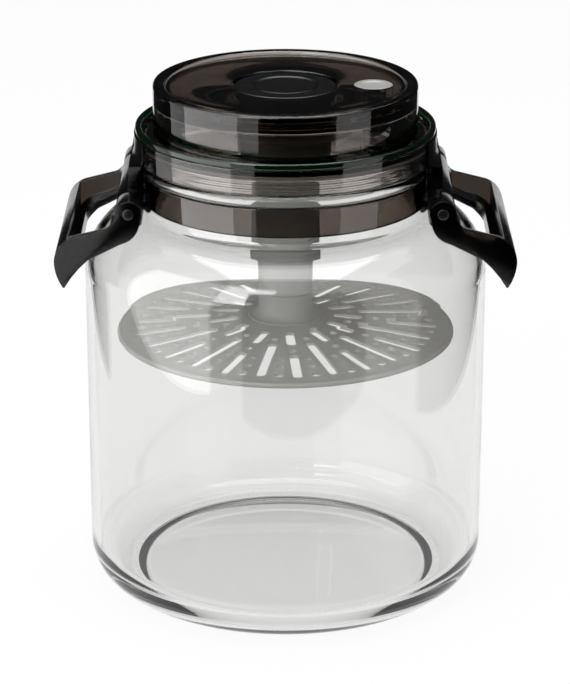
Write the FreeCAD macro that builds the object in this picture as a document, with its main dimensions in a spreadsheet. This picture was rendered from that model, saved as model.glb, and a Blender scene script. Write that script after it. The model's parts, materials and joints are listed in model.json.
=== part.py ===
import FreeCAD, Part
import math
import os
import re
import Sketcher

# Vacuum pickle keeper: a glass jar with a clip-on pump lid and a press-down strainer.
# Origin at the bottom centre of the jar, +Z up, clips on +X and -X, front on -Y.

V = FreeCAD.Vector
UP = V(0, 0, 1)

SIZES = [
    # The glass
    ("jar_radius", 82.5, "outside of the jar wall"),
    ("body_height", 135.8, "base to the start of the shoulder"),
    ("neck_foot", 1.8, "round at the foot of the neck"),
    ("glass_wall", 3.3, "thickness of the glass"),
    ("mouth_round", 0.8, "rounds of the glass lip"),
    ("base_round", 16.5, "outside radius at the base corner"),
    ("base_thickness", 3.6, "glass under the inside"),
    ("punt_height", 2.6, "hollow under the base"),
    ("foot_width", 3.0, "flat bearing ring"),
    ("neck_radius", 55.4, "outside of the neck"),
    ("neck_wall", 3.0, "wall of the neck"),
    ("bead_proud", 5.1, "bead beyond the neck"),
    ("bead_height", 4.5, "height of the glass bead"),
    ("bead_gap", 0.5, "collar to bead"),
    ("lip_proud", 1.6, "lip beyond the neck"),
    ("lip_height", 6.5, "lip above the bead"),
    # The collar on the neck
    ("collar_gap", 4.1, "shoulder top to collar"),
    ("collar_height", 11.8, "height of the collar"),
    ("collar_wall", 3.05, "wall of the collar"),
    ("collar_fit", 0.05, "collar to neck"),
    ("collar_split", 1.2, "opening between the collar halves"),
    ("catch_thickness", 1.8, "catch plate"),
    ("catch_half_width", 23.0, "half of the catch plate's width"),
    ("catch_height", 9.0, "height of the catch plate"),
    ("catch_screw_spread", 13.0, "angle of a catch screw from the side"),
    ("screw_radius", 1.1, "shank of a small screw"),
    ("screw_head_radius", 2.1, "head of a small screw"),
    ("screw_head_height", 1.1, "head of a small screw"),
    ("screw_bite", 1.4, "small screw in the piece that it holds"),
    ("catch_screw_length", 4.2, "screw through the catch plate"),
    ("edge_break", 0.6, "small chamfer on a moulded edge"),
    ("catch_overhang", 0.6, "catch plate below the collar"),
    # The lid
    ("ring_gap", 0.8, "bead to lid ring"),
    ("ring_play", 0.6, "lip to lid ring"),
    ("ring_wall", 3.2, "wall of the lid ring"),
    ("groove_depth", 0.7, "grooves inside the lid ring"),
    ("groove_height", 0.9, "grooves inside the lid ring"),
    ("gasket_thickness", 1.8, "mouth gasket"),
    ("gasket_inset", 0.4, "gasket to the mouth and to the ring"),
    ("web_thickness", 2.0, "floor of the lid ring"),
    ("web_hole_gap", 2.6, "vent seal to the ring's floor"),
    ("ring_rise", 0.9, "ring wall above its floor"),
    ("rim_wall", 2.4, "width of the rim band"),
    ("rim_height", 2.8, "height of the rim band"),
    ("channel_width", 4.7, "channel between the rim band and the drum"),
    ("drum_wall", 2.2, "wall of the drum"),
    ("drum_height", 20.7, "height of the drum"),
    ("drum_floor", 1.8, "floor of the drum"),
    ("drum_lip", 5.1, "width of the drum's top bead"),
    ("drum_lip_depth", 3.7, "depth of the drum's top bead"),
    ("ledge_width", 2.0, "ledge under the top cover"),
    ("lip_round", 1.3, "round on the drum's top"),
    ("cover_drop", 1.2, "top cover below the drum's top"),
    ("cover_thickness", 2.5, "top cover"),
    ("part_gap", 0.2, "gap round a loose cover or cap"),
    # The pump
    ("knob_radius", 21.1, "outside of the pump knob"),
    ("knob_gap", 0.4, "knob to cover"),
    ("knob_drop", 0.2, "knob below the cover"),
    ("knob_top", 2.5, "thickness of the knob's top"),
    ("knob_skirt", 2.0, "wall of the knob's skirt"),
    ("knob_skirt_depth", 7.6, "depth of the knob's skirt"),
    ("knob_head_depth", 0.55, "seat of the knob's screw under the disc"),
    ("knob_screw_length", 4.4, "knob's screw in the rod"),
    ("insert_radius", 12.5, "disc in the knob's top"),
    ("insert_thickness", 1.0, "disc in the knob's top"),
    ("pump_stroke", 7.0, "travel of the pump"),
    ("skirt_gap", 0.6, "pump cylinder to the knob's skirt"),
    ("pump_wall", 2.0, "wall of the pump cylinder"),
    ("pump_depth", 9.8, "pump cylinder below the drum"),
    ("pump_bottom", 2.0, "end wall of the pump cylinder"),
    ("flange_margin", 3.0, "flange beyond its screws"),
    ("flange_thickness", 1.4, "flange of the pump cylinder"),
    ("flange_screw_gap", 0.8, "knob's skirt to a screw head"),
    ("guide_thickness", 1.5, "guide cap of the cylinder"),
    ("rod_radius", 3.0, "pump rod"),
    ("slide_fit", 0.05, "running clearance"),
    ("piston_thickness", 3.9, "pump piston"),
    ("piston_gap", 0.3, "piston to cylinder"),
    ("seal_section", 0.85, "half thickness of the piston seal"),
    ("valve_radius", 5.0, "intake valve"),
    ("valve_thickness", 1.0, "intake valve"),
    ("valve_stem", 1.4, "stem of the intake valve"),
    ("valve_bulb", 2.0, "bulb that holds the valve's stem"),
    ("port_circle", 3.2, "circle of the intake ports"),
    ("port_radius", 0.7, "intake port"),
    ("pump_coil_radius", 9.0, "mean radius of the pump spring"),
    ("pump_wire", 0.9, "wire of the pump spring"),
    # The vent
    ("vent_spacing", 6.1, "knob's opening to the vent button"),
    ("vent_radius", 7.9, "vent button"),
    ("vent_top", 2.3, "thickness of the vent button"),
    ("vent_stem", 2.6, "stem of the vent"),
    ("vent_boss_radius", 6.0, "boss round the vent stem"),
    ("vent_boss_height", 4.0, "boss round the vent stem"),
    ("vent_seal_radius", 4.4, "seal under the vent"),
    ("vent_seal_height", 2.2, "seal under the vent"),
    ("vent_seal_foot", 3.1, "lower end of the vent's seal"),
    ("vent_coil_radius", 4.6, "mean radius of the vent spring"),
    ("vent_wire", 0.7, "wire of the vent spring"),
    # The side clips
    ("hinge_offset", 1.5, "hinge beyond the lid ring"),
    ("hinge_drop", 13.4, "hinge below the lid ring"),
    ("knuckle_radius", 5.4, "hinge knuckle"),
    ("knuckle_half_width", 27.7, "half of the knuckle's width"),
    ("knuckle_side_gap", 0.3, "knuckle to clip leg"),
    ("pin_radius", 1.4, "hinge pin"),
    ("pin_head_radius", 2.2, "head of the hinge pin"),
    ("pin_head_height", 0.6, "head of the hinge pin"),
    ("pad_half_width", 23.0, "half of the hinge plate's width"),
    ("pad_proud", 0.7, "hinge plate beyond the ring"),
    ("hanger_proud", 0.5, "hanger beyond the hinge's axis"),
    ("gusset_height", 3.0, "slope from the hanger to the hinge plate"),
    ("pad_depth", 2.0, "hinge plate let into the ring"),
    ("bead_clearance", 0.3, "hinge plate to glass bead"),
    ("clip_half_width", 41.0, "half of the clip's width"),
    ("clip_overhang", 9.6, "bar's outer edge beyond the jar"),
    ("clip_drop", 30.5, "hinge down to the clip's tip"),
    ("clip_crest", 9.5, "hinge down to the bar's top"),
    ("clip_crest_overhang", 2.2, "bar's top corner beyond the jar"),
    ("clip_saddle", 6.2, "hinge down to the leg's saddle"),
    ("clip_saddle_reach", 9.4, "hinge to the leg's saddle"),
    ("clip_belly", 12.3, "hinge down to the leg's belly"),
    ("clip_belly_reach", 3.2, "hinge to the leg's belly"),
    ("clip_waist", 18.9, "hinge down to the leg's waist"),
    ("clip_waist_inset", 3.9, "leg's waist inside the jar's wall"),
    ("clip_heel", 4.4, "hinge down to the leg's heel"),
    ("clip_tip_overhang", 6.3, "clip's tip beyond the jar"),
    ("clip_tip_flat", 0.6, "flat at the clip's tip"),
    ("clip_belly_round", 9.8, "leg's belly"),
    ("clip_waist_round", 45.0, "leg's underside to the tip"),
    ("clip_wall", 3.0, "side wall of the clip"),
    ("tray_start", 7.4, "hinge to the tray between the side walls"),
    ("tray_heel", 11.6, "hinge down to the tray's inner end"),
    ("tray_bend", 15.0, "hinge down to the bend in the tray's floor"),
    ("tray_bend_reach", 14.8, "hinge to the bend in the tray's floor"),
    ("tray_end", 20.5, "hinge down to the tray's outer end"),
    ("tray_overhang", 4.2, "tray beyond the jar"),
    ("tray_round", 14.0, "tray's floor towards the bar"),
    ("clip_edge_round", 20.6, "bar's outer face"),
    ("clip_crest_round", 11.0, "bar's top corner"),
    ("clip_saddle_round", 6.6, "leg's saddle"),
    ("clip_shoulder_drop", 1.5, "hinge down to the saddle's inner end"),
    ("clip_edge_drop", 21.0, "hinge down to the clip's outer edge"),
    ("glass_clearance", 0.6, "clip to glass shoulder"),
    ("claw_inner", 6.3, "claw's inside radius round the hinge"),
    ("claw_outer", 8.0, "claw's outside radius round the hinge"),
    ("claw_start", 232.0, "angle of the claw's tip"),
    ("claw_end", 285.0, "angle where the claw meets the leg"),
    # The stem and the strainer
    ("sleeve_wall", 2.6, "wall of the stem sleeve"),
    ("stem_gap", 0.3, "stem tube to its sleeve"),
    ("sleeve_flange", 2.2, "flange of the stem sleeve"),
    ("sleeve_screw_gap", 0.15, "sleeve to a screw head"),
    ("sleeve_length", 32.0, "stem sleeve"),
    ("grip_height", 6.7, "grip collar"),
    ("grip_rib_depth", 0.6, "ribs of the grip collar"),
    ("grip_section", 0.7, "half thickness of the grip ring"),
    ("tube_radius", 11.1, "stem tube"),
    ("tube_wall", 1.8, "wall of the stem tube"),
    ("tube_length", 43.0, "stem tube"),
    ("tube_shown", 18.8, "stem tube below the grip collar"),
    ("hub_height", 12.1, "hub below the tube"),
    ("hub_flare", 4.5, "hub's foot beyond the tube"),
    ("hub_floor", 3.0, "floor of the hub"),
    ("hub_spigot", 6.0, "hub inside the tube"),
    ("hub_screw_bite", 2.6, "hub's screw in its floor"),
    ("plate_gap", 9.4, "strainer plate to the glass"),
    ("plate_thickness", 1.2, "strainer plate"),
    ("plate_dish", 4.0, "rise of the strainer plate"),
    ("plate_flat_margin", 1.4, "flat middle of the plate beyond the hub"),
    ("plate_bore", 8.0, "hole of the strainer plate"),
    ("plate_rim", 1.1, "half thickness of the plate's rolled rim"),
    ("slot_width", 3.8, "strainer slot"),
    ("slot_corner", 1.3, "round corners of a slot"),
    ("inner_slot_start", 20.0, "inner slot, from the middle"),
    ("inner_slot_end", 32.0, "inner slot, to"),
    ("outer_slot_start", 42.0, "outer slot, from the middle"),
    ("outer_slot_margin", 7.3, "outer slot to the plate's edge"),
    ("long_slot_start", 31.0, "long slot, from the middle"),
    ("long_slot_margin", 8.3, "long slot to the plate's edge"),
    ("dot_radius", 1.5, "round hole beside a slot"),
    ("inner_dot", 27.0, "round hole inside a long slot"),
    ("middle_dot", 37.6, "round hole between two slots"),
    ("small_hole", 1.25, "first hole between the spokes"),
    ("medium_hole", 1.5, "second hole between the spokes"),
    ("large_hole", 1.9, "third hole between the spokes"),
    ("small_hole_inset", 23.8, "first hole from the plate's edge"),
    ("medium_hole_inset", 17.0, "second hole from the plate's edge"),
    ("large_hole_inset", 9.6, "third hole from the plate's edge"),
    ("keeper_radius", 12.0, "keeper disc under the plate"),
    ("keeper_thickness", 2.4, "keeper disc under the plate"),
]

# Sizes that follow from those on the sheet
FORMULAS = {
    "shoulder_round": "jar_radius - neck_radius - neck_foot",
    "mouth_radius": "neck_radius - neck_wall",
    "bead_radius": "neck_radius + bead_proud",
    "lip_radius": "neck_radius + lip_proud",
    "collar_radius": "neck_radius + collar_fit + collar_wall",
    "catch_radius": "collar_radius + catch_thickness",
    "ring_radius": "lip_radius + ring_play + ring_wall",
    "drum_radius": "ring_radius - rim_wall - channel_width",
    "pump_radius": "knob_radius - knob_skirt - skirt_gap",
    "flange_screw_circle": "knob_radius + flange_screw_gap + screw_head_radius",
    "flange_radius": "flange_screw_circle + flange_margin",
    "vent_offset": "knob_radius + knob_gap + vent_spacing + vent_radius",
    "web_hole_radius": "vent_offset + vent_seal_radius + web_hole_gap",
    "drum_screw_circle": "(web_hole_radius + drum_radius - drum_wall) / 2",
    "hinge_reach": "ring_radius + hinge_offset",
    "sleeve_bore": "tube_radius + stem_gap",
    "sleeve_radius": "sleeve_bore + sleeve_wall",
    "sleeve_screw_circle": "sleeve_radius + sleeve_screw_gap + screw_head_radius",
    "hub_radius": "tube_radius + hub_flare",
    "plate_radius": "jar_radius - glass_wall - plate_gap",
    "plate_flat": "hub_radius + plate_flat_margin",
    "outer_slot_end": "plate_radius - outer_slot_margin",
    "long_slot_end": "plate_radius - long_slot_margin",
    "small_hole_reach": "plate_radius - small_hole_inset",
    "medium_hole_reach": "plate_radius - medium_hole_inset",
    "large_hole_reach": "plate_radius - large_hole_inset",
}

RING_GROOVES = 3
GRIP_RIBS = 4
PATTERN_PAIRS = 13
PATTERN_START = 274.5
DRUM_SCREW_START = 45
FLANGE_SCREW_START = 90
SLEEVE_SCREW_START = 30
COIL_TURNS_PUMP = 4
COIL_TURNS_VENT = 6
SIDES = {"right": 0, "left": 180}

doc = FreeCAD.newDocument("pickle_keeper")
sheet = doc.addObject("Spreadsheet::Sheet", "Sizes")
for row, (alias, size, meaning) in enumerate(SIZES, 1):
    sheet.set("A%d" % row, meaning)
    sheet.set("B%d" % row, str(size))
    sheet.setAlias("B%d" % row, alias)
doc.recompute()


def sized(text):
    """Writes a formula of size names as an expression on the sheet."""
    def written(match):
        name = match.group(0)
        return "(" + sized(FORMULAS[name]) + ")" if name in FORMULAS else "Sizes." + name
    return re.sub(r"\b[a-z]+(?:_[a-z]+)+\b", written, text)


def number(text):
    return float(sheet.evalExpression(sized(text)))


def add(*parts):
    return "(" + " + ".join(parts) + ")"


def less(first, *rest):
    return "(" + " - ".join((first,) + rest) + ")"


# Levels, from the base up
SHOULDER_TOP = add("body_height", "shoulder_round")
COLLAR_BOTTOM = add(SHOULDER_TOP, "collar_gap")
COLLAR_TOP = add(COLLAR_BOTTOM, "collar_height")
BEAD_BOTTOM = add(COLLAR_TOP, "bead_gap")
BEAD_TOP = add(BEAD_BOTTOM, "bead_height")
LIP_TOP = add(BEAD_TOP, "lip_height")
RING_BOTTOM = add(BEAD_TOP, "ring_gap")
WEB_BOTTOM = add(LIP_TOP, "gasket_thickness")
WEB_TOP = add(WEB_BOTTOM, "web_thickness")
RING_TOP = add(WEB_TOP, "ring_rise")
DRUM_TOP = add(WEB_TOP, "drum_height")
FLOOR_TOP = add(WEB_TOP, "drum_floor")
COVER_TOP = less(DRUM_TOP, "cover_drop")
COVER_BOTTOM = less(COVER_TOP, "cover_thickness")
KNOB_TOP = less(COVER_TOP, "knob_drop")
KNOB_UNDER = less(KNOB_TOP, "knob_top")
GUIDE_TOP = less(KNOB_UNDER, "pump_stroke", "part_gap")
GUIDE_BOTTOM = less(GUIDE_TOP, "guide_thickness")
PUMP_BOTTOM = less(WEB_TOP, "pump_depth")
PUMP_FLOOR = add(PUMP_BOTTOM, "pump_bottom")
PUMP_BORE = less("pump_radius", "pump_wall")
PISTON_BOTTOM = less(GUIDE_BOTTOM, "part_gap", "piston_thickness")
SLEEVE_BOTTOM = less(PUMP_BOTTOM, "sleeve_length")
GRIP_BOTTOM = less(SLEEVE_BOTTOM, "grip_height")
TUBE_FOOT = less(GRIP_BOTTOM, "tube_shown")
HUB_BOTTOM = less(TUBE_FOOT, "hub_height")
PLATE_UNDER = less(HUB_BOTTOM, "plate_thickness")
VENT_UNDER = less(COVER_TOP, "vent_top")
VENT_BOSS_TOP = add(FLOOR_TOP, "vent_boss_height")
HINGE_LEVEL = less(RING_BOTTOM, "hinge_drop")


def place_arc(sketch, start, end, radius, left):
    """An arc from start to end whose centre lies on the left or the right of the way there."""
    middle = (start + end) * 0.5
    along = end - start
    half = along.Length / 2
    reach = math.sqrt(max(radius * radius - half * half, 0))
    side = V(-along.y, along.x, 0).normalize() * (reach if left else -reach)
    centre = middle + side
    first, last = (start, end) if left else (end, start)
    angles = [math.atan2(p.y - centre.y, p.x - centre.x) for p in (first, last)]
    circle = Part.Circle(centre, UP, radius)
    return sketch.addGeometry(Part.ArcOfCircle(circle, angles[0], angles[1]))


def draw(sketch, corners):
    """Closes an outline through its corners, each held by its two sizes.

    A corner is (across, up), or (across, up, radius) where an arc leads to it: its centre is on the
    left of the way there, or on the right for a radius that starts with a minus sign.
    """
    spots = [V(number(c[0]), number(c[1]), 0) for c in corners]
    pieces = []
    for i, corner in enumerate(corners):
        start, end = spots[i - 1], spots[i]
        if len(corner) == 2:
            pieces.append((sketch.addGeometry(Part.LineSegment(start, end)), 1, 2))
            continue
        left = not corner[2].startswith("-")
        radius = corner[2].lstrip("-")
        arc = place_arc(sketch, start, end, number(radius), left)
        pieces.append((arc, 1, 2) if left else (arc, 2, 1))
        bound = sketch.addConstraint(Sketcher.Constraint("Radius", arc, number(radius)))
        sketch.setExpression("Constraints[%d]" % bound, sized(radius))
    for i, (piece, head, tail) in enumerate(pieces):
        following = pieces[(i + 1) % len(pieces)]
        sketch.addConstraint(Sketcher.Constraint("Coincident", piece, tail, following[0], following[1]))
        for kind, axis, text in (("DistanceX", -2, corners[i][0]), ("DistanceY", -1, corners[i][1])):
            if text == "0":
                sketch.addConstraint(Sketcher.Constraint("PointOnObject", piece, tail, axis))
                continue
            rule = Sketcher.Constraint(kind, -1, 1, piece, tail, number(text))
            bound = sketch.addConstraint(rule)
            sketch.setExpression("Constraints[%d]" % bound, sized(text))


def new_sketch(body, name, role):
    sketch = body.newObject("Sketcher::SketchObject", name)
    plane = [f for f in body.Origin.OriginFeatures if f.Role == role][0]
    sketch.AttachmentSupport = [(plane, "")]
    sketch.MapMode = "FlatFace"
    return sketch


def turned(name, corners, sweep=None, role="XZ_Plane"):
    """A body turned about the upright axis from an outline of (radius, height) corners."""
    body = doc.addObject("PartDesign::Body", name)
    sketch = new_sketch(body, name + "_outline", role)
    draw(sketch, corners)
    turn = body.newObject("PartDesign::Revolution", name + "_turn")
    turn.Profile = sketch
    turn.ReferenceAxis = (sketch, ["V_Axis"])
    turn.Angle = 360
    if sweep:
        turn.Midplane = True
        turn.setExpression("Angle", sized(sweep))
    body.Tip = turn
    doc.recompute()
    return body


def ring(name, inner, outer, bottom, top):
    return turned(name, [(inner, bottom), (outer, bottom), (outer, top), (inner, top)])


def disc(name, radius, bottom, top):
    return turned(name, [("0", bottom), (radius, bottom), (radius, top), ("0", top)])


def tell(thing, **rules):
    for key, text in rules.items():
        thing.setExpression(key.replace("__", "."), sized(text))
    return thing


def rod(name, radius, length, x="0", y="0", z="0", axis=None):
    """A plain round bar from a place along an axis, upright by default."""
    bar = tell(doc.addObject("Part::Cylinder", name), Radius=radius, Height=length)
    if axis:
        bar.Placement = FreeCAD.Placement(V(0, 0, 0), FreeCAD.Rotation(UP, axis))
    return tell(bar, Placement__Base__x=x, Placement__Base__y=y, Placement__Base__z=z)


def block(name, low, high):
    box = doc.addObject("Part::Box", name)
    tell(box, Placement__Base__x=low[0], Placement__Base__y=low[1], Placement__Base__z=low[2])
    return tell(box, Length=less(high[0], low[0]), Width=less(high[1], low[1]), Height=less(high[2], low[2]))


def joined(name, pieces):
    fuse = doc.addObject("Part::MultiFuse", name)
    fuse.Shapes = pieces
    fuse.Refine = True
    return fuse


def cut(name, base, tools):
    tool = tools[0] if len(tools) == 1 else joined(name + "_cutter", tools)
    result = doc.addObject("Part::Cut", name)
    result.Base = base
    result.Tool = tool
    return result


def group(name, pieces):
    result = doc.addObject("Part::Compound", name)
    result.Links = pieces
    return result


def around(name, count, circle, make, start=0.0):
    """Makes count like pieces on a circle: make(name, x formula, y formula) builds each."""
    pieces = []
    for i in range(count):
        angle = start + 360.0 * i / count
        x = "%s * cos(%.4f)" % (circle, angle)
        y = "%s * sin(%.4f)" % (circle, angle)
        pieces.append(make("%s_%d" % (name, i + 1), x, y))
    return pieces


def turned_about(piece, degrees):
    piece.Placement = FreeCAD.Placement(V(0, 0, 0), FreeCAD.Rotation(UP, degrees))
    return piece


def coil(name, radius, wire, bottom, top, turns, x="0"):
    """A compression spring: one unbroken tube on arcs of about a quarter turn each."""
    mean = number(radius)
    thick = number(wire) / 2
    low = number(bottom) + thick
    high = number(top) - thick
    steps = turns * 4
    climb = (high - low) / steps

    def point(i):
        angle = math.pi / 2 * i
        return V(mean * math.cos(angle), mean * math.sin(angle), low + climb * i)

    def heading(i):
        angle = math.pi / 2 * i
        return V(-mean * math.sin(angle), mean * math.cos(angle), climb * 2 / math.pi).normalize()

    def bend(start, corner, end):
        chord = end - start
        reach = (corner - start).Length
        turn = 2 * math.acos(min(1, chord.Length / 2 / reach))
        middle = (start + end) * 0.5
        crown = middle + (corner - middle).normalize() * (chord.Length / 2 * math.tan(turn / 4))
        return Part.Arc(start, crown, end).toShape()

    edges = []
    for i in range(steps):
        start, end = point(i), point(i + 1)
        first, last = heading(i), heading(i + 1)
        gap = end - start
        a = 2 * (1 - first.dot(last))
        b = 2 * gap.dot(first + last)
        c = -gap.dot(gap)
        reach = (-b + math.sqrt(b * b - 4 * a * c)) / (2 * a)
        meet = (start + end + (first - last) * reach) * 0.5
        edges.append(bend(start, start + first * reach, meet))
        edges.append(bend(meet, end - last * reach, end))
    path = Part.Wire(edges)
    section = Part.Wire(Part.Circle(point(0), heading(0), thick).toShape())
    spring = doc.addObject("Part::Feature", name)
    spring.Shape = path.makePipeShell([section], True, False)
    spring.Placement = FreeCAD.Placement(V(number(x), 0, 0), FreeCAD.Rotation())
    print("%s: least gap between turns %.2f mm" % (name, climb * 4 - 2 * thick))
    return spring


def glass_jar():
    arc_middle = less("jar_radius", "shoulder_round")
    inner_wall = less("jar_radius", "glass_wall")
    floor = add("punt_height", "base_thickness")
    inner_base = less("base_round", "glass_wall")
    foot = less("jar_radius", "base_round")
    bead_round = "(bead_height / 2)"
    bead_start = less("bead_radius", bead_round)
    throat = less(SHOULDER_TOP, "glass_wall")
    throat_round = less(arc_middle, "mouth_radius")
    neck_round = less(arc_middle, "neck_radius")
    return turned("glass_jar", [
        ("0", "punt_height"),
        (less(foot, "2 * foot_width"), "punt_height"),
        (less(foot, "foot_width"), "0"),
        (foot, "0"),
        ("jar_radius", "base_round", "base_round"),
        ("jar_radius", "body_height"),
        (arc_middle, SHOULDER_TOP, "shoulder_round"),
        ("neck_radius", add(SHOULDER_TOP, neck_round), "-" + neck_round),
        ("neck_radius", BEAD_BOTTOM),
        (bead_start, BEAD_BOTTOM),
        ("bead_radius", add(BEAD_BOTTOM, bead_round), bead_round),
        (bead_start, BEAD_TOP, bead_round),
        ("lip_radius", BEAD_TOP),
        ("lip_radius", less(LIP_TOP, "mouth_round")),
        (less("lip_radius", "mouth_round"), LIP_TOP, "mouth_round"),
        (add("mouth_radius", "mouth_round"), LIP_TOP),
        ("mouth_radius", less(LIP_TOP, "mouth_round"), "mouth_round"),
        ("mouth_radius", add(throat, throat_round)),
        (arc_middle, throat, throat_round),
        (inner_wall, "body_height", "-" + less("shoulder_round", "glass_wall")),
        (inner_wall, add(floor, inner_base)),
        (foot, floor, "-" + inner_base),
        ("0", floor),
    ])


def radial_screw(name, angle):
    """A countersunk screw through a catch plate, pointing at the middle axis."""
    inward = FreeCAD.Rotation(UP, number(angle)).multVec(V(-1, 0, 0))
    level = add(COLLAR_BOTTOM, "collar_height / 3")
    head = tell(doc.addObject("Part::Cone", name + "_head"), Radius1="screw_head_radius",
                Radius2="screw_radius", Height=less("screw_head_radius", "screw_radius"))
    shank = tell(doc.addObject("Part::Cylinder", name + "_shank"),
                 Radius="screw_radius", Height="catch_screw_length")
    for piece in (head, shank):
        piece.Placement = FreeCAD.Placement(V(0, 0, 0), FreeCAD.Rotation(UP, inward))
        tell(piece, Placement__Base__x="catch_radius * cos(%s)" % angle,
             Placement__Base__y="catch_radius * sin(%s)" % angle, Placement__Base__z=level)
    return joined(name, [head, shank])


def catch_screw_angles(turn):
    return ["(%d + catch_screw_spread)" % turn, "(%d - catch_screw_spread)" % turn]


def collar_half(name, degrees):
    """Half of the band on the neck, with a small chamfer at each outside edge."""
    inner = add("neck_radius", "collar_fit")
    half = turned(name + "_band", [
        (inner, COLLAR_BOTTOM),
        (less("collar_radius", "edge_break"), COLLAR_BOTTOM),
        ("collar_radius", add(COLLAR_BOTTOM, "edge_break")),
        ("collar_radius", less(COLLAR_TOP, "edge_break")),
        (less("collar_radius", "edge_break"), COLLAR_TOP),
        (inner, COLLAR_TOP),
    ], "180 deg - 2 * asin(collar_split / 2 / neck_radius)", "YZ_Plane")
    turned_about(half, degrees)
    angles = catch_screw_angles(0) + catch_screw_angles(180)
    holes = [radial_screw("%s_hole_%d" % (name, i), angle) for i, angle in enumerate(angles)]
    return cut(name, half, holes)


def catch_plate(side):
    """A curved plate over the collar's joint, with a ledge for the clip's claw."""
    name = "catch_plate_" + side
    bottom = less(COLLAR_BOTTOM, "catch_overhang")
    top = add(bottom, "catch_height")
    blank = turned(name + "_blank", [
        ("collar_radius", bottom),
        ("catch_radius", bottom),
        ("catch_radius", less(top, "edge_break")),
        (less("catch_radius", "edge_break"), top),
        ("collar_radius", top),
    ], "2 * asin(catch_half_width / catch_radius)")
    holes = [radial_screw("%s_hole_%d" % (name, i), angle)
             for i, angle in enumerate(catch_screw_angles(0))]
    return turned_about(cut(name, blank, holes), SIDES[side])


def catch_screws():
    angles = catch_screw_angles(0) + catch_screw_angles(180)
    return group("catch_screws", [radial_screw("catch_screw_%d" % i, angle)
                                  for i, angle in enumerate(angles)])


def lid_screw(name, x, y):
    """Holds the drum on the ring, from below."""
    head = rod(name + "_head", "screw_head_radius", "screw_head_height", x, y,
               less(WEB_BOTTOM, "screw_head_height"))
    shank = rod(name + "_shank", "screw_radius", "web_thickness + screw_bite", x, y, WEB_BOTTOM)
    return joined(name, [head, shank])


def flange_screw(name, x, y):
    """Holds the pump cylinder's flange on the drum's floor."""
    top = add(FLOOR_TOP, "flange_thickness")
    head = rod(name + "_head", "screw_head_radius", "screw_head_height", x, y, top)
    shank = rod(name + "_shank", "screw_radius", "flange_thickness + screw_bite", x, y,
                less(FLOOR_TOP, "screw_bite"))
    return joined(name, [head, shank])


def sleeve_screw(name, x, y):
    """Holds the stem sleeve's flange under the pump cylinder."""
    base = less(PUMP_BOTTOM, "sleeve_flange")
    head = rod(name + "_head", "screw_head_radius", "screw_head_height", x, y,
               less(base, "screw_head_height"))
    shank = rod(name + "_shank", "screw_radius", "sleeve_flange + screw_bite", x, y, base)
    return joined(name, [head, shank])


def lid_ring():
    """The ring round the mouth, with grooves inside and a seat for each hinge plate."""
    inner = less("ring_radius", "ring_wall")
    groove = add(inner, "groove_depth")
    channel = less("ring_radius", "rim_wall")
    grooves = []
    for k in range(RING_GROOVES, 0, -1):
        middle = add(RING_BOTTOM, "%s * %d / %d" % (less(WEB_BOTTOM, RING_BOTTOM), k, RING_GROOVES + 1))
        high, low = add(middle, "groove_height / 2"), less(middle, "groove_height / 2")
        grooves += [(inner, high), (groove, high), (groove, low), (inner, low)]
    blank = turned("lid_ring_blank", [
        ("web_hole_radius", WEB_BOTTOM), (inner, WEB_BOTTOM)] + grooves + [
        (inner, RING_BOTTOM),
        ("ring_radius", RING_BOTTOM),
        ("ring_radius", RING_TOP),
        (channel, RING_TOP),
        (channel, WEB_TOP),
        ("web_hole_radius", WEB_TOP),
    ])
    seats = [turned_about(hinge_plate("ring_seat_" + side), turn) for side, turn in SIDES.items()]
    screws = around("ring_hole", 4, "drum_screw_circle", lid_screw, DRUM_SCREW_START)
    return cut("lid_ring", blank, seats + screws)


def hinge_plate(name):
    """The curved plate let into the side of the lid ring, sloping out to the hanger at its foot."""
    seat = less("ring_radius", "pad_depth")
    outer = add("ring_radius", "pad_proud")
    return turned(name, [
        (seat, RING_BOTTOM),
        ("hinge_reach + hanger_proud", RING_BOTTOM),
        (outer, add(RING_BOTTOM, "gusset_height")),
        (outer, RING_TOP),
        (seat, RING_TOP),
    ], "2 * asin(pad_half_width / ring_radius)")


def hinge_block(side):
    """Hangs from the lid ring past the glass bead and carries the clip's hinge."""
    name = "hinge_block_" + side
    clear = add("bead_radius", "bead_clearance")
    web = block(name + "_web", ("neck_radius", "-pad_half_width", HINGE_LEVEL),
                ("hinge_reach + hanger_proud", "pad_half_width", RING_BOTTOM))
    knuckle = rod(name + "_knuckle", "knuckle_radius", "2 * knuckle_half_width",
                  "hinge_reach", "-knuckle_half_width", HINGE_LEVEL, V(0, 1, 0))
    jar_side = rod(name + "_jar_side", clear, less(RING_BOTTOM, "body_height"), z="body_height")
    lower = cut(name + "_lower", joined(name + "_hanger", [web, knuckle]), [jar_side])
    whole = joined(name + "_whole", [lower, hinge_plate(name + "_plate")])
    bore = hinge_rod(name + "_bore", "pin_radius", "-knuckle_half_width", "knuckle_half_width")
    return turned_about(cut(name, whole, [bore]), SIDES[side])


def hinge_rod(name, radius, start, end):
    return rod(name, radius, less(end, start), "hinge_reach", start, HINGE_LEVEL, V(0, 1, 0))


def hinge_pin(side):
    """A pin through both legs and the knuckle, with a flat head on each leg."""
    name = "hinge_pin_" + side
    seat = add("clip_half_width", "slide_fit")
    end = add(seat, "pin_head_height")
    pieces = [
        hinge_rod(name + "_shank", "pin_radius", "-" + seat, seat),
        hinge_rod(name + "_front", "pin_head_radius", "-" + end, "-" + seat),
        hinge_rod(name + "_rear", "pin_head_radius", seat, end),
    ]
    return turned_about(joined(name, pieces), SIDES[side])


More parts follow.
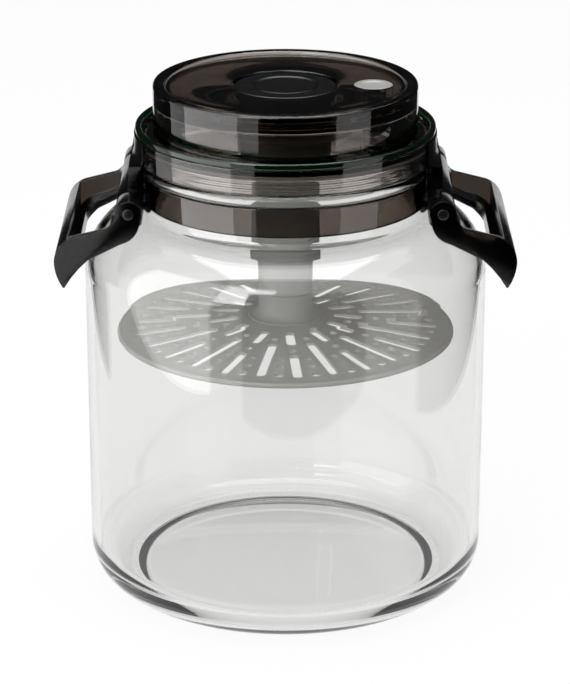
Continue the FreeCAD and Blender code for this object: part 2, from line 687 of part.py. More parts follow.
def drawn_across(name, corners, half_width):
    """A solid drawn on the XZ plane and carried the same way to front and rear."""
    body = doc.addObject("PartDesign::Body", name)
    sketch = new_sketch(body, name + "_outline", "XZ_Plane")
    draw(sketch, corners)
    pad = body.newObject("PartDesign::Pad", name + "_pad")
    pad.Profile = sketch
    pad.Midplane = True
    tell(pad, Length="2 * " + half_width)
    body.Tip = pad
    doc.recompute()
    return body


def clip(side):
    """A lever with two legs, a finger window and a lifting bar; its claw hooks under the collar."""
    name = "clip_" + side

    def at(across, up):
        return (add("hinge_reach", across), add(HINGE_LEVEL, up))

    def outside(across, up):
        return (add("jar_radius", across), add(HINGE_LEVEL, up))

    outline = drawn_across(name + "_side", [
        at("-knuckle_radius", "0") + ("knuckle_radius",),
        at("-clip_heel", "-clip_heel"),
        at("clip_belly_reach", "-clip_belly") + ("clip_belly_round",),
        outside("-clip_waist_inset", "-clip_waist"),
        outside("clip_tip_overhang - clip_tip_flat", "-clip_drop") + ("-clip_waist_round",),
        outside("clip_tip_overhang", "-clip_drop"),
        outside("clip_overhang", "-clip_edge_drop") + ("clip_edge_round",),
        outside("clip_crest_overhang", "-clip_crest") + ("clip_crest_round",),
        at("clip_saddle_reach", "-clip_saddle"),
        at("knuckle_radius", "-clip_shoulder_drop") + ("-clip_saddle_round",),
        at("knuckle_radius", "0"),
        at("0", "knuckle_radius") + ("knuckle_radius",),
    ], "clip_half_width")
    leg_inside = add("knuckle_half_width", "knuckle_side_gap")
    window = block(name + "_window",
                   ("neck_radius", "-" + leg_inside, less(HINGE_LEVEL, "2 * clip_drop")),
                   ("jar_radius + glass_clearance", leg_inside, add(HINGE_LEVEL, "2 * knuckle_radius")))
    arc_middle = less("jar_radius", "shoulder_round")
    clear_wall = add("jar_radius", "glass_clearance")
    shoulder = turned(name + "_shoulder", [
        ("0", "body_height / 2"),
        (clear_wall, "body_height / 2"),
        (clear_wall, "body_height"),
        (arc_middle, add(SHOULDER_TOP, "glass_clearance"), add("shoulder_round", "glass_clearance")),
        ("0", add(SHOULDER_TOP, "glass_clearance")),
    ])
    claw = drawn_across(name + "_claw", [
        at("claw_outer * cos(claw_start)", "claw_outer * sin(claw_start)"),
        at("claw_outer * cos(claw_end)", "claw_outer * sin(claw_end)") + ("claw_outer",),
        at("claw_inner * cos(claw_end)", "claw_inner * sin(claw_end)"),
        at("claw_inner * cos(claw_start)", "claw_inner * sin(claw_start)") + ("-claw_inner",),
    ], add(leg_inside, "knuckle_radius"))
    tray = drawn_across(name + "_tray", [
        at("tray_start", "clip_crest"),
        at("tray_start", "-tray_heel"),
        at("tray_bend_reach", "-tray_bend"),
        outside("tray_overhang", "-tray_end") + ("-tray_round",),
        outside("tray_overhang", "clip_crest"),
    ], "(clip_half_width - clip_wall)")
    legs = cut(name + "_legs", outline, [window, shoulder, tray])
    whole = joined(name + "_whole", [legs, claw])
    bore = hinge_rod(name + "_bore", add("pin_radius", "slide_fit"), "-clip_half_width", "clip_half_width")
    return turned_about(cut(name, whole, [bore]), SIDES[side])


def drum():
    """The smoked cup of the lid, with a boss for the vent's stem."""
    inner = less("drum_radius", "drum_wall")
    lip_inner = less("drum_radius", "drum_lip")
    lip_bottom = less(DRUM_TOP, "drum_lip_depth")
    ledge = less(lip_inner, "ledge_width")
    ledge_bottom = less(lip_bottom, "ledge_width")
    blank = turned("lid_drum_blank", [
        (add("pump_radius", "part_gap"), WEB_TOP),
        ("drum_radius", WEB_TOP),
        ("drum_radius", less(DRUM_TOP, "lip_round")),
        (less("drum_radius", "lip_round"), DRUM_TOP, "lip_round"),
        (add(lip_inner, "lip_round"), DRUM_TOP),
        (lip_inner, less(DRUM_TOP, "lip_round"), "lip_round"),
        (lip_inner, lip_bottom),
        (ledge, lip_bottom),
        (ledge, ledge_bottom),
        (inner, less(ledge_bottom, "ledge_width")),
        (inner, FLOOR_TOP),
        (add("pump_radius", "part_gap"), FLOOR_TOP),
    ])
    boss = rod("vent_boss", "vent_boss_radius", "drum_floor + vent_boss_height", "vent_offset", "0", WEB_TOP)
    hole = rod("vent_hole", "vent_stem + 2 * part_gap", "drum_height", "vent_offset", "0", WEB_TOP)
    shell = joined("lid_drum_shell", [blank, boss])
    screws = around("drum_hole", 4, "drum_screw_circle", lid_screw, DRUM_SCREW_START)
    screws += around("flange_hole", 3, "flange_screw_circle", flange_screw, FLANGE_SCREW_START)
    return cut("lid_drum", shell, screws + [hole])


def top_cover():
    inner = add("knob_radius", "knob_gap")
    outer = less("drum_radius", "drum_lip", "part_gap")
    blank = ring("top_cover_blank", inner, outer, COVER_BOTTOM, COVER_TOP)
    hole = rod("cover_vent_hole", "vent_radius + part_gap", "2 * cover_thickness", "vent_offset", "0",
               less(COVER_BOTTOM, "cover_thickness / 2"))
    return cut("top_cover", blank, [hole])


def pump_cylinder():
    blank = turned("pump_cylinder_blank", [
        ("0", PUMP_BOTTOM),
        ("pump_radius", PUMP_BOTTOM),
        ("pump_radius", FLOOR_TOP),
        ("flange_radius", FLOOR_TOP),
        ("flange_radius", add(FLOOR_TOP, "flange_thickness")),
        ("pump_radius", add(FLOOR_TOP, "flange_thickness")),
        ("pump_radius", GUIDE_BOTTOM),
        (PUMP_BORE, GUIDE_BOTTOM),
        (PUMP_BORE, PUMP_FLOOR),
        ("0", PUMP_FLOOR),
    ])

    def port(name, x, y):
        return rod(name, "port_radius", "2 * pump_bottom", x, y, less(PUMP_BOTTOM, "pump_bottom / 2"))

    holes = around("intake_port", 4, "port_circle", port)
    holes.append(rod("valve_hole", "valve_stem", "2 * pump_bottom", z=less(PUMP_BOTTOM, "pump_bottom / 2")))
    holes += around("cylinder_hole", 3, "flange_screw_circle", flange_screw, FLANGE_SCREW_START)
    holes += around("cylinder_under_hole", 3, "sleeve_screw_circle", sleeve_screw, SLEEVE_SCREW_START)
    return cut("pump_cylinder", blank, holes)


def intake_valve():
    bulb = less(PUMP_BOTTOM, "valve_stem")
    return turned("intake_valve", [
        ("0", bulb),
        ("valve_bulb", bulb),
        ("valve_stem", PUMP_BOTTOM),
        ("valve_stem", PUMP_FLOOR),
        ("valve_radius", PUMP_FLOOR),
        ("valve_stem", add(PUMP_FLOOR, "valve_thickness")),
        ("0", add(PUMP_FLOOR, "valve_thickness")),
    ])


def piston():
    outer = less(PUMP_BORE, "piston_gap")
    middle = add(PISTON_BOTTOM, "piston_thickness / 2")
    groove = less(PUMP_BORE, "2 * slide_fit", "2 * seal_section")
    top = add(PISTON_BOTTOM, "piston_thickness")
    half = "(seal_section + slide_fit)"
    return turned("pump_piston", [
        ("rod_radius", PISTON_BOTTOM),
        (outer, PISTON_BOTTOM),
        (outer, less(middle, half)),
        (groove, less(middle, half)),
        (groove, add(middle, half)),
        (outer, add(middle, half)),
        (outer, top),
        ("rod_radius", top),
    ])


def seal_ring(name, centre, section, level):
    torus = doc.addObject("Part::Torus", name)
    return tell(torus, Radius1=centre, Radius2=section, Placement__Base__z=level)


def pump_rod():
    return turned("pump_rod", [
        ("0", PISTON_BOTTOM),
        ("rod_radius", PISTON_BOTTOM),
        ("rod_radius", KNOB_UNDER),
        ("screw_radius", KNOB_UNDER),
        ("screw_radius", less(KNOB_UNDER, "knob_screw_length")),
        ("0", less(KNOB_UNDER, "knob_screw_length")),
    ])


INSERT_BOTTOM = less(KNOB_TOP, "insert_thickness", "part_gap")
KNOB_HEAD_SEAT = less(INSERT_BOTTOM, "knob_head_depth")


def pump_knob():
    skirt_inner = less("knob_radius", "knob_skirt")
    skirt_bottom = less(KNOB_TOP, "knob_skirt_depth")
    insert = add("insert_radius", "part_gap")
    return turned("pump_knob", [
        ("screw_radius", KNOB_UNDER),
        (skirt_inner, KNOB_UNDER),
        (skirt_inner, skirt_bottom),
        ("knob_radius", skirt_bottom),
        ("knob_radius", less(KNOB_TOP, "edge_break")),
        (less("knob_radius", "edge_break"), KNOB_TOP, "edge_break"),
        (insert, KNOB_TOP),
        (insert, INSERT_BOTTOM),
        ("screw_head_radius", INSERT_BOTTOM),
        ("screw_head_radius", KNOB_HEAD_SEAT),
        ("screw_radius", KNOB_HEAD_SEAT),
    ])


def knob_screw():
    depth = less(KNOB_UNDER, "knob_screw_length")
    return turned("knob_screw", [
        ("0", depth),
        ("screw_radius", depth),
        ("screw_radius", KNOB_HEAD_SEAT),
        ("screw_head_radius", KNOB_HEAD_SEAT),
        ("screw_head_radius", INSERT_BOTTOM),
        ("0", INSERT_BOTTOM),
    ])


def vent_button():
    body = turned("vent_button", [
        ("0", VENT_UNDER),
        ("vent_radius", VENT_UNDER),
        ("vent_radius", less(COVER_TOP, "edge_break")),
        (less("vent_radius", "edge_break"), COVER_TOP, "edge_break"),
        ("0", COVER_TOP),
    ])
    return tell(body, Placement__Base__x="vent_offset")


def vent_seal():
    top = less(WEB_TOP, "slide_fit")
    body = turned("vent_seal", [
        ("vent_stem", less(top, "vent_seal_height")),
        ("vent_seal_foot", less(top, "vent_seal_height")),
        ("vent_seal_radius", less(top, "vent_seal_height / 2")),
        ("vent_seal_radius", top),
        ("vent_stem", top),
    ])
    return tell(body, Placement__Base__x="vent_offset")


def stem_sleeve():
    base = less(PUMP_BOTTOM, "sleeve_flange")
    blank = turned("stem_sleeve_blank", [
        ("sleeve_bore", SLEEVE_BOTTOM),
        ("sleeve_radius", SLEEVE_BOTTOM),
        ("sleeve_radius", base),
        ("pump_radius", base),
        ("pump_radius", PUMP_BOTTOM),
        ("sleeve_bore", PUMP_BOTTOM),
    ])
    holes = around("sleeve_hole", 3, "sleeve_screw_circle", sleeve_screw, SLEEVE_SCREW_START)
    return cut("stem_sleeve", blank, holes)


def grip_collar():
    """The ribbed end of the sleeve; a ring inside it grips the tube."""
    ribs = []
    steps = 2 * GRIP_RIBS + 1
    for k in range(1, steps, 2):
        low = add(GRIP_BOTTOM, "grip_height * %d / %d" % (k, steps))
        high = add(GRIP_BOTTOM, "grip_height * %d / %d" % (k + 1, steps))
        inside = less("sleeve_radius", "grip_rib_depth")
        ribs += [("sleeve_radius", low), (inside, low), (inside, high), ("sleeve_radius", high)]
    middle = add(GRIP_BOTTOM, "grip_height / 2")
    half = "(grip_section + slide_fit)"
    seat = add("tube_radius", "2 * slide_fit", "2 * grip_section")
    return turned("grip_collar", [("sleeve_bore", GRIP_BOTTOM), ("sleeve_radius", GRIP_BOTTOM)] + ribs + [
        ("sleeve_radius", SLEEVE_BOTTOM),
        ("sleeve_bore", SLEEVE_BOTTOM),
        ("sleeve_bore", add(middle, half)),
        (seat, add(middle, half)),
        (seat, less(middle, half)),
        ("sleeve_bore", less(middle, half)),
    ])


def strainer_hub():
    bore = less("tube_radius", "tube_wall")
    flare = less("hub_radius", "tube_radius")
    thick = less(bore, "tube_wall")
    floor = add(HUB_BOTTOM, "hub_floor")
    return turned("strainer_hub", [
        ("screw_radius", HUB_BOTTOM),
        ("hub_radius", HUB_BOTTOM),
        ("hub_radius", add(HUB_BOTTOM, "edge_break")),
        ("tube_radius", add(HUB_BOTTOM, "edge_break", flare), "-" + flare),
        ("tube_radius", TUBE_FOOT),
        (bore, TUBE_FOOT),
        (bore, add(TUBE_FOOT, "hub_spigot")),
        (thick, add(TUBE_FOOT, "hub_spigot")),
        (thick, floor),
        ("screw_radius", floor),
    ])


def pocket_ring(body, name, count, start, make):
    """Cuts what make(sketch) draws right through the plate and repeats it round the middle."""
    sketch = new_sketch(body, name + "_outline", "XY_Plane")
    sketch.AttachmentOffset = FreeCAD.Placement(V(0, 0, 0), FreeCAD.Rotation(UP, start))
    make(sketch)
    pocket = body.newObject("PartDesign::Pocket", name + "_pocket")
    pocket.Profile = sketch
    pocket.Type = "ThroughAll"
    pocket.Reversed = True
    doc.recompute()
    pattern = body.newObject("PartDesign::PolarPattern", name + "_ring")
    pattern.Originals = [pocket]
    pattern.Axis = (sketch, ["N_Axis"])
    pattern.Angle = 360
    pattern.Occurrences = count
    body.Tip = pattern
    doc.recompute()


def draw_slot(sketch, start, end):
    half = "(slot_width / 2)"
    flat = less("slot_width / 2", "slot_corner")
    near, far = add(start, "slot_corner"), less(end, "slot_corner")
    draw(sketch, [
        (far, "-" + half),
        (end, "-" + flat, "slot_corner"),
        (end, flat),
        (far, half, "slot_corner"),
        (near, half),
        (start, flat, "slot_corner"),
        (start, "-" + flat),
        (near, "-" + half, "slot_corner"),
    ])


def draw_hole(sketch, reach, radius):
    hole = sketch.addGeometry(Part.Circle(V(number(reach), 0, 0), UP, number(radius)))
    sketch.addConstraint(Sketcher.Constraint("PointOnObject", hole, 3, -1))
    rules = (Sketcher.Constraint("DistanceX", -1, 1, hole, 3, number(reach)),
             Sketcher.Constraint("Radius", hole, number(radius)))
    for rule, text in zip(rules, (reach, radius)):
        bound = sketch.addConstraint(rule)
        sketch.setExpression("Constraints[%d]" % bound, sized(text))


def strainer_plate():
    """A shallow dished plate; its slots and holes run outwards in two alternating spokes."""
    low = less(PLATE_UNDER, "plate_dish")
    rim_start = less("plate_radius", "2 * plate_rim")
    rim_middle = add(low, "plate_thickness / 2")
    body = turned("strainer_plate", [
        ("plate_bore", PLATE_UNDER),
        ("plate_flat", PLATE_UNDER),
        (rim_start, low),
        (less("plate_radius", "plate_rim"), less(rim_middle, "plate_rim")),
        ("plate_radius", rim_middle, "plate_rim"),
        (less("plate_radius", "plate_rim"), add(rim_middle, "plate_rim"), "plate_rim"),
        (rim_start, add(low, "plate_thickness")),
        ("plate_flat", HUB_BOTTOM),
        ("plate_bore", HUB_BOTTOM),
    ])
    step = 360.0 / PATTERN_PAIRS

    def short_spoke(sketch):
        draw_slot(sketch, "inner_slot_start", "inner_slot_end")
        draw_slot(sketch, "outer_slot_start", "outer_slot_end")
        draw_hole(sketch, "middle_dot", "dot_radius")

    def long_spoke(sketch):
        draw_slot(sketch, "long_slot_start", "long_slot_end")
        draw_hole(sketch, "inner_dot", "dot_radius")

    def hole_row(sketch):
        for size in ("small", "medium", "large"):
            draw_hole(sketch, size + "_hole_reach", size + "_hole")

    pocket_ring(body, "short_spoke", PATTERN_PAIRS, 0, short_spoke)
    pocket_ring(body, "long_spoke", PATTERN_PAIRS, step / 2, long_spoke)
    pocket_ring(body, "hole_row", 2 * PATTERN_PAIRS, step / 4, hole_row)
    return turned_about(body, PATTERN_START)


def keeper_disc():
    low = less(PLATE_UNDER, "keeper_thickness")
    return turned("keeper_disc", [
        ("screw_radius", low),
        (less("keeper_radius", "edge_break"), low),
        ("keeper_radius", add(low, "edge_break")),
        ("keeper_radius", PLATE_UNDER),
        ("plate_bore", PLATE_UNDER),
        ("plate_bore", HUB_BOTTOM),
        ("screw_radius", HUB_BOTTOM),
    ])


def hub_screw():
    low = less(PLATE_UNDER, "keeper_thickness")
    head = less(low, "screw_head_height")
    tip = add(HUB_BOTTOM, "hub_screw_bite")
    return turned("hub_screw", [
        ("0", head),
        ("screw_head_radius", head),
        ("screw_head_radius", low),
        ("screw_radius", low),
        ("screw_radius", tip),
        ("0", tip),
    ])


SEAL_LEVEL = add(PISTON_BOTTOM, "piston_thickness / 2")
GRIP_LEVEL = add(GRIP_BOTTOM, "grip_height / 2")

nodes = [
    glass_jar(),
    collar_half("collar_front", 180),
    collar_half("collar_rear", 0),
    catch_plate("left"),
    catch_plate("right"),
    catch_screws(),
    ring("mouth_gasket", add("mouth_radius", "gasket_inset"),
         less("ring_radius", "ring_wall", "gasket_inset"),
         LIP_TOP, WEB_BOTTOM),
    lid_ring(),
    ring("rim_band", less("ring_radius", "rim_wall"), add("ring_radius", "part_gap"),
         RING_TOP, add(RING_TOP, "rim_height")),
    hinge_block("left"),
    hinge_block("right"),
    hinge_pin("left"),
    hinge_pin("right"),
    clip("left"),
    clip("right"),
    drum(),
    group("drum_screws", around("drum_screw", 4, "drum_screw_circle", lid_screw, DRUM_SCREW_START)),
    top_cover(),
    pump_cylinder(),
    group("flange_screws",
          around("flange_screw", 3, "flange_screw_circle", flange_screw, FLANGE_SCREW_START)),
    ring("pump_guide_cap", add("rod_radius", "slide_fit"), "pump_radius", GUIDE_BOTTOM, GUIDE_TOP),
    intake_valve(),
    coil("pump_spring", "pump_coil_radius", "pump_wire", PUMP_FLOOR, PISTON_BOTTOM, COIL_TURNS_PUMP),
    piston(),
    seal_ring("piston_seal", less(PUMP_BORE, "slide_fit", "seal_section"), "seal_section", SEAL_LEVEL),
    pump_rod(),
    pump_knob(),
    knob_screw(),
    disc("knob_insert", "insert_radius", INSERT_BOTTOM, less(KNOB_TOP, "part_gap")),
    vent_button(),
    rod("vent_stem", "vent_stem", less(VENT_UNDER, WEB_TOP, "-vent_seal_height"), "vent_offset", "0",
        less(WEB_TOP, "vent_seal_height")),
    vent_seal(),
    coil("vent_spring", "vent_coil_radius", "vent_wire", VENT_BOSS_TOP, VENT_UNDER, COIL_TURNS_VENT,
         "vent_offset"),
    stem_sleeve(),
    group("sleeve_screws",
          around("sleeve_screw", 3, "sleeve_screw_circle", sleeve_screw, SLEEVE_SCREW_START)),
    grip_collar(),
    seal_ring("grip_ring", add("tube_radius", "slide_fit", "grip_section"), "grip_section", GRIP_LEVEL),
    ring("stem_tube", less("tube_radius", "tube_wall"), "tube_radius", TUBE_FOOT,
         add(TUBE_FOOT, "tube_length")),
    strainer_hub(),
    strainer_plate(),
    keeper_disc(),
    hub_screw(),
]
doc.recompute()

failed = [thing.Name for thing in doc.Objects if {"Invalid", "Error"} & set(thing.State)]
if failed:
    raise SystemExit("failed: " + ", ".join(failed))
for node in nodes:
    if node.Shape.isNull() or not node.Shape.isValid() or not node.Shape.Solids:
        raise SystemExit(node.Label + " has no valid shape")

os.makedirs("parts", exist_ok=True)
for node in nodes:
    node.Shape.exportStep(os.path.join("parts", node.Label + ".step"))
print("%d sub-parts, %d solids" % (len(nodes), sum(len(node.Shape.Solids) for node in nodes)))
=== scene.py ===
import bmesh
import bpy
import json
import math
from mathutils import Matrix, Vector
from bpy.props import FloatProperty, FloatVectorProperty, IntProperty, PointerProperty
from bpy.types import Operator, Panel, PropertyGroup


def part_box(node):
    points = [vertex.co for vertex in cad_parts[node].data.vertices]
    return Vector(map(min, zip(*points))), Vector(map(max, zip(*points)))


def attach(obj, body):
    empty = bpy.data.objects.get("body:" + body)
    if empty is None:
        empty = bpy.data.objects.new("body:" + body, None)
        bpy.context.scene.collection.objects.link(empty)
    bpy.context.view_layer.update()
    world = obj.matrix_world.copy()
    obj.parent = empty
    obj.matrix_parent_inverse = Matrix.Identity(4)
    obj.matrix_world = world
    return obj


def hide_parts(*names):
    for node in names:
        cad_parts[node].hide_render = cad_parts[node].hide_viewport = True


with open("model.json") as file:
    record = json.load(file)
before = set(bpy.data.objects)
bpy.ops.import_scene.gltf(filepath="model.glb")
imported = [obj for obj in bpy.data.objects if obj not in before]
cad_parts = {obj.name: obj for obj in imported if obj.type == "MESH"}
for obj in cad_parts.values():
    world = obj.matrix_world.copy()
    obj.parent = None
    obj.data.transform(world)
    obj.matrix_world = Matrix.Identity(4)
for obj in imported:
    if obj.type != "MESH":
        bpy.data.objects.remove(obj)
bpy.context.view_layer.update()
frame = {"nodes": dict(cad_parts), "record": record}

bl_info = {
    "name": "Vacuum Pickle Keeper",
    "version": (1, 0, 0),
    "blender": (4, 5, 0),
    "location": "3D View > Sidebar > Keeper",
    "description": "Builds a glass keeper with a clip-on pump lid and a lift strainer",
    "category": "Add Mesh",
}

TAU = 2 * math.pi
# Sides of a turned piece, from the jar down to a pin
FINEST, FINE, MEDIUM, COARSE, BAR, PIN = 256, 192, 128, 96, 64, 48
# Rounds on moulded edges
CREASE, BROKEN, SMALL, PLAIN, SOFT, LARGE = 0.00015, 0.0002, 0.0003, 0.0004, 0.0005, 0.0006
# Air between two pieces that touch on the real keeper
HAIR = 0.00005
# A step between faces that would otherwise lie in one plane
STEP = 0.0002
SMOOTH_UP_TO = math.radians(32)
# Length of a cutter through the strainer plate, well past both its faces
CUTTER = 0.04


def linear(text):
    """An sRGB hex colour as linear light with full alpha."""
    parts = [int(text[i:i + 2], 16) / 255 for i in (1, 3, 5)]
    return tuple(c / 12.92 if c <= 0.04045 else ((c + 0.055) / 1.055) ** 2.4 for c in parts) + (1.0,)


def length(label, millimetres, text):
    return FloatProperty(name=label, description=text, default=millimetres / 1000, unit="LENGTH")


def colour(label, text, about):
    return FloatVectorProperty(name=label, description=about, default=linear(text), size=4, subtype="COLOR",
                               min=0, max=1)


def number(label, default, text):
    return FloatProperty(name=label, description=text, default=default)


def count(label, default, text):
    return IntProperty(name=label, description=text, default=default, min=1)


class GlassSizes(PropertyGroup):
    radius: length("Radius", 82.5, "Outside of the jar's wall")
    base_round: length("Base round", 16.5, "Round between the wall and the base")
    shoulder_round: length("Shoulder round", 25.3, "Round between the wall and the shoulder")
    shoulder_top: length("Shoulder top", 161.1, "Height of the shoulder's top")
    wall: length("Wall", 3.3, "Thickness of the glass")
    base: length("Base", 3.6, "Thickness of the base")
    punt: length("Punt", 2.6, "Hollow under the base")
    foot: length("Foot", 3.0, "Width of the ring that the jar stands on")
    neck: length("Neck", 55.4, "Outside of the neck")
    mouth: length("Mouth", 52.4, "Inside of the neck")
    bead: length("Bead", 60.5, "Outside of the bead under the lip")
    bead_low: length("Bead's underside", 177.5, "Height of the bead's underside")
    bead_high: length("Bead's top", 182.0, "Height of the bead's top")
    lip: length("Lip", 57.0, "Outside of the lip")
    rib_width: length("Knurl width", 0.7, "Width of one knurl on the foot")
    ribs: count("Knurls", 210, "Knurls round the foot, as moulded jars have for grip")


class LidSizes(PropertyGroup):
    drum: length("Drum", 53.7, "Outside of the drum")
    drum_wall: length("Drum wall", 2.2, "Wall of the drum")
    drum_lip: length("Drum lip", 5.1, "Width of the drum's top bead")
    drum_lip_depth: length("Lip depth", 3.7, "Depth of the drum's top bead")
    lip_round: length("Lip round", 1.3, "Round on the drum's top")
    ledge: length("Ledge", 2.0, "Ledge under the cover")
    ring: length("Ring", 60.8, "Outside of the lid's ring")
    ring_wall: length("Ring wall", 3.2, "Wall of the ring")
    rim_wall: length("Rim width", 2.4, "Width of the coloured rim")
    web_hole: length("Ring opening", 42.5, "Opening in the ring's floor")
    grooves: count("Grooves", 3, "Grooves inside the ring")
    groove_depth: length("Groove depth", 0.7, "Depth of a groove inside the ring")
    groove_half: length("Groove half", 0.45, "Half the width of a groove inside the ring")
    gap: length("Gap", 0.2, "Gap round the cover")
    floor: length("Floor", 1.8, "Floor of the drum")
    pump_hole: length("Pump hole", 18.7, "Hole in the drum's floor for the pump")
    boss: length("Vent boss", 6.0, "Boss on the floor under the vent button")
    bore: length("Vent bore", 3.0, "Bore of the vent's boss")
    seal: length("Seal", 4.4, "Width of the seal")


class ClipSizes(PropertyGroup):
    hinge_x: length("Hinge reach", 62.3, "Hinge from the middle")
    hinge_z: length("Hinge height", 169.4, "Height of the hinge")
    knuckle: length("Knuckle", 5.4, "Radius of the knuckle")
    knuckle_width: length("Knuckle width", 55.4, "Width of the knuckle between the legs")
    width: length("Width", 82.0, "Width of the clip")
    window: length("Window", 56.0, "Width of the finger window")
    window_end: length("Window end", 20.8, "Hinge to the far side of the window")
    window_round: length("Window round", 4.0, "Corners of the window")
    wall: length("Wall", 3.0, "Side walls of the clip")
    bar_start: length("Bar", 24.4, "Hinge to the inner side of the bar")
    edge_round: length("Edge round", 0.9, "Rounded edges of the clip")
    pin: length("Pin", 1.4, "Radius of the hinge pin")
    pin_head: length("Pin head", 2.2, "Radius of the pin's domed head")
    plate_width: length("Hinge plate", 46.0, "Width of the plate let into the lid's ring")
    plate_depth: length("Plate depth", 2.0, "How far the plate is let into the ring")
    plate_proud: length("Plate proud", 0.7, "How far the plate stands out of the ring")
    claw_inner: length("Claw inside", 6.3, "Inside of the claw, from the hinge")
    claw_outer: length("Claw outside", 8.0, "Outside of the claw, from the hinge")


class StemSizes(PropertyGroup):
    tube: length("Tube", 11.1, "Radius of the sliding tube")
    tube_wall: length("Tube wall", 1.8, "Wall of the tube")
    sleeve_wall: length("Sleeve wall", 2.6, "Wall of the fixed sleeve")
    gap: length("Gap", 0.3, "Tube to sleeve")
    flare: length("Flare", 4.5, "Foot of the hub beyond the tube")
    rib_depth: length("Rib depth", 0.6, "Depth between the grip collar's ribs")
    ribs: count("Ribs", 4, "Ribs round the grip collar")
    flange: length("Flange", 2.2, "Thickness of the sleeve's flange")
    foot: length("Foot", 0.8, "Edge of the hub's foot")
    floor: length("Hub floor", 3.0, "Floor inside the hub")


class KnobSizes(PropertyGroup):
    radius: length("Radius", 21.1, "Outside of the pump knob")
    skirt: length("Skirt", 2.0, "Wall of the knob's skirt")
    top: length("Top", 2.5, "Thickness of the knob's top")
    insert: length("Insert", 12.5, "Radius of the disc in the knob")
    edge: length("Edge", 1.6, "Rounded edge of the knob")
    bevel: length("Bevel", 1.2, "Bevel round the disc")
    vent: length("Vent", 7.9, "Radius of the vent button")
    vent_offset: length("Vent place", 35.5, "Vent from the middle")


class ScrewSizes(PropertyGroup):
    head: length("Head", 2.1, "Radius of a screw's head")
    head_height: length("Head height", 1.1, "Height of a screw's head")
    shank: length("Shank", 1.1, "Radius of a screw's shank")
    recess: length("Recess", 0.5, "Width of the cross in the head")
    flange_circle: length("Flange circle", 24.0, "Circle of the pump flange's screws")


class StrainerSizes(PropertyGroup):
    radius: length("Radius", 69.8, "Outside of the plate")
    thickness: length("Thickness", 1.2, "Thickness of the plate")
    dish: length("Dish", 4.0, "How much the plate rises to its middle")
    flat: length("Flat", 17.0, "Radius of the flat middle")
    bore: length("Bore", 8.0, "Hole for the hub")
    rim: length("Rim", 1.1, "Half thickness of the rolled rim")
    slot: length("Slot", 3.8, "Width of a slot")
    corner: length("Corner", 1.3, "Round corners of a slot")
    inner_start: length("Inner slot from", 20.0, "Inner slot, from the middle")
    inner_end: length("Inner slot to", 32.0, "Inner slot, to")
    outer_start: length("Outer slot from", 42.0, "Outer slot, from the middle")
    outer_end: length("Outer slot to", 62.5, "Outer slot, to")
    long_start: length("Long slot from", 31.0, "Long slot, from the middle")
    long_end: length("Long slot to", 61.5, "Long slot, to")
    dot: length("Dot", 1.5, "Round hole beside a slot")
    inner_dot: length("Inner dot", 27.0, "Round hole inside a long slot")
    middle_dot: length("Middle dot", 37.6, "Round hole between two slots")
    first_hole: length("First hole", 1.25, "Radius of the first hole between the spokes")
    first_reach: length("First reach", 46.0, "First hole, from the middle")
    second_hole: length("Second hole", 1.5, "Radius of the second hole between the spokes")
    second_reach: length("Second reach", 52.8, "Second hole, from the middle")
    third_hole: length("Third hole", 1.9, "Radius of the third hole between the spokes")
    third_reach: length("Third reach", 60.2, "Third hole, from the middle")
    pairs: count("Spokes", 13, "Spokes of each kind")
    start: FloatProperty(name="Turn", description="Direction of the first spoke",
                         default=math.radians(274.5), subtype="ANGLE")


class Finishes(PropertyGroup):
    glass: colour("Glass", "#f6f6f5", "Clear soda-lime glass")
    smoke: colour("Smoke", "#9b897b", "What shines through the smoked plastic of the lid")
    rim: colour("Rim", "#073c19", "Green of the rim")
    black: colour("Black", "#0d0d0c", "Gloss black of the knob")
    clip: colour("Clip", "#5a4638", "What shines through the clips where they are thin")
    grey: colour("Grey", "#cfcfcb", "Grey of the strainer and its stem")
    silver: colour("Silver", "#a5a5a2", "Paint on the vent button")
    inner: colour("Inner", "#4f4944", "Pump and guides, seen through the lid")
    silicone: colour("Silicone", "#d9d8d2", "Seals")
    steel: colour("Steel", "#b8b8b8", "Springs, pins and screws")


class StageSettings(PropertyGroup):
    distance: length("Distance", 1102, "Camera in front of the jar's axis")
    height: length("Height", 507, "Camera above the floor")
    pitch: FloatProperty(name="Pitch", description="Camera below the horizon",
                         default=math.radians(20.23), subtype="ANGLE")
    focal: number("Focal length", 148.2, "Lens in millimetres on a 36 mm sensor")
    ambient: number("Ambient", 0.6, "Light that the surroundings throw on the object")
    softbox: number("Softbox", 3.0, "Brightness of the softbox in reflections, where 1 is white")


def add_node(tree, kind, sockets=None, **settings):
    """Adds a node with its settings; each socket gets a value, a link or a list of links."""
    node = tree.nodes.new(kind)
    for key, value in settings.items():
        setattr(node, key, value)
    for key, value in (sockets or {}).items():
        links = value if isinstance(value, list) else [value]
        if isinstance(links[0], bpy.types.NodeSocket):
            for link in links:
                tree.links.new(link, node.inputs[key])
        else:
            node.inputs[key].default_value = value
    return node


def node_tree(name, inputs):
    """A Geometry Nodes tree with named inputs; returns it with its input node."""
    tree = bpy.data.node_groups.new(name, "GeometryNodeTree")
    tree.is_modifier = True
    tree.interface.new_socket("Geometry", in_out="INPUT", socket_type="NodeSocketGeometry")
    tree.interface.new_socket("Geometry", in_out="OUTPUT", socket_type="NodeSocketGeometry")
    for label, value in inputs.items():
        kind = "NodeSocketInt" if isinstance(value, int) else "NodeSocketFloat"
        tree.interface.new_socket(label, in_out="INPUT", socket_type=kind)
    return tree, add_node(tree, "NodeGroupInput").outputs


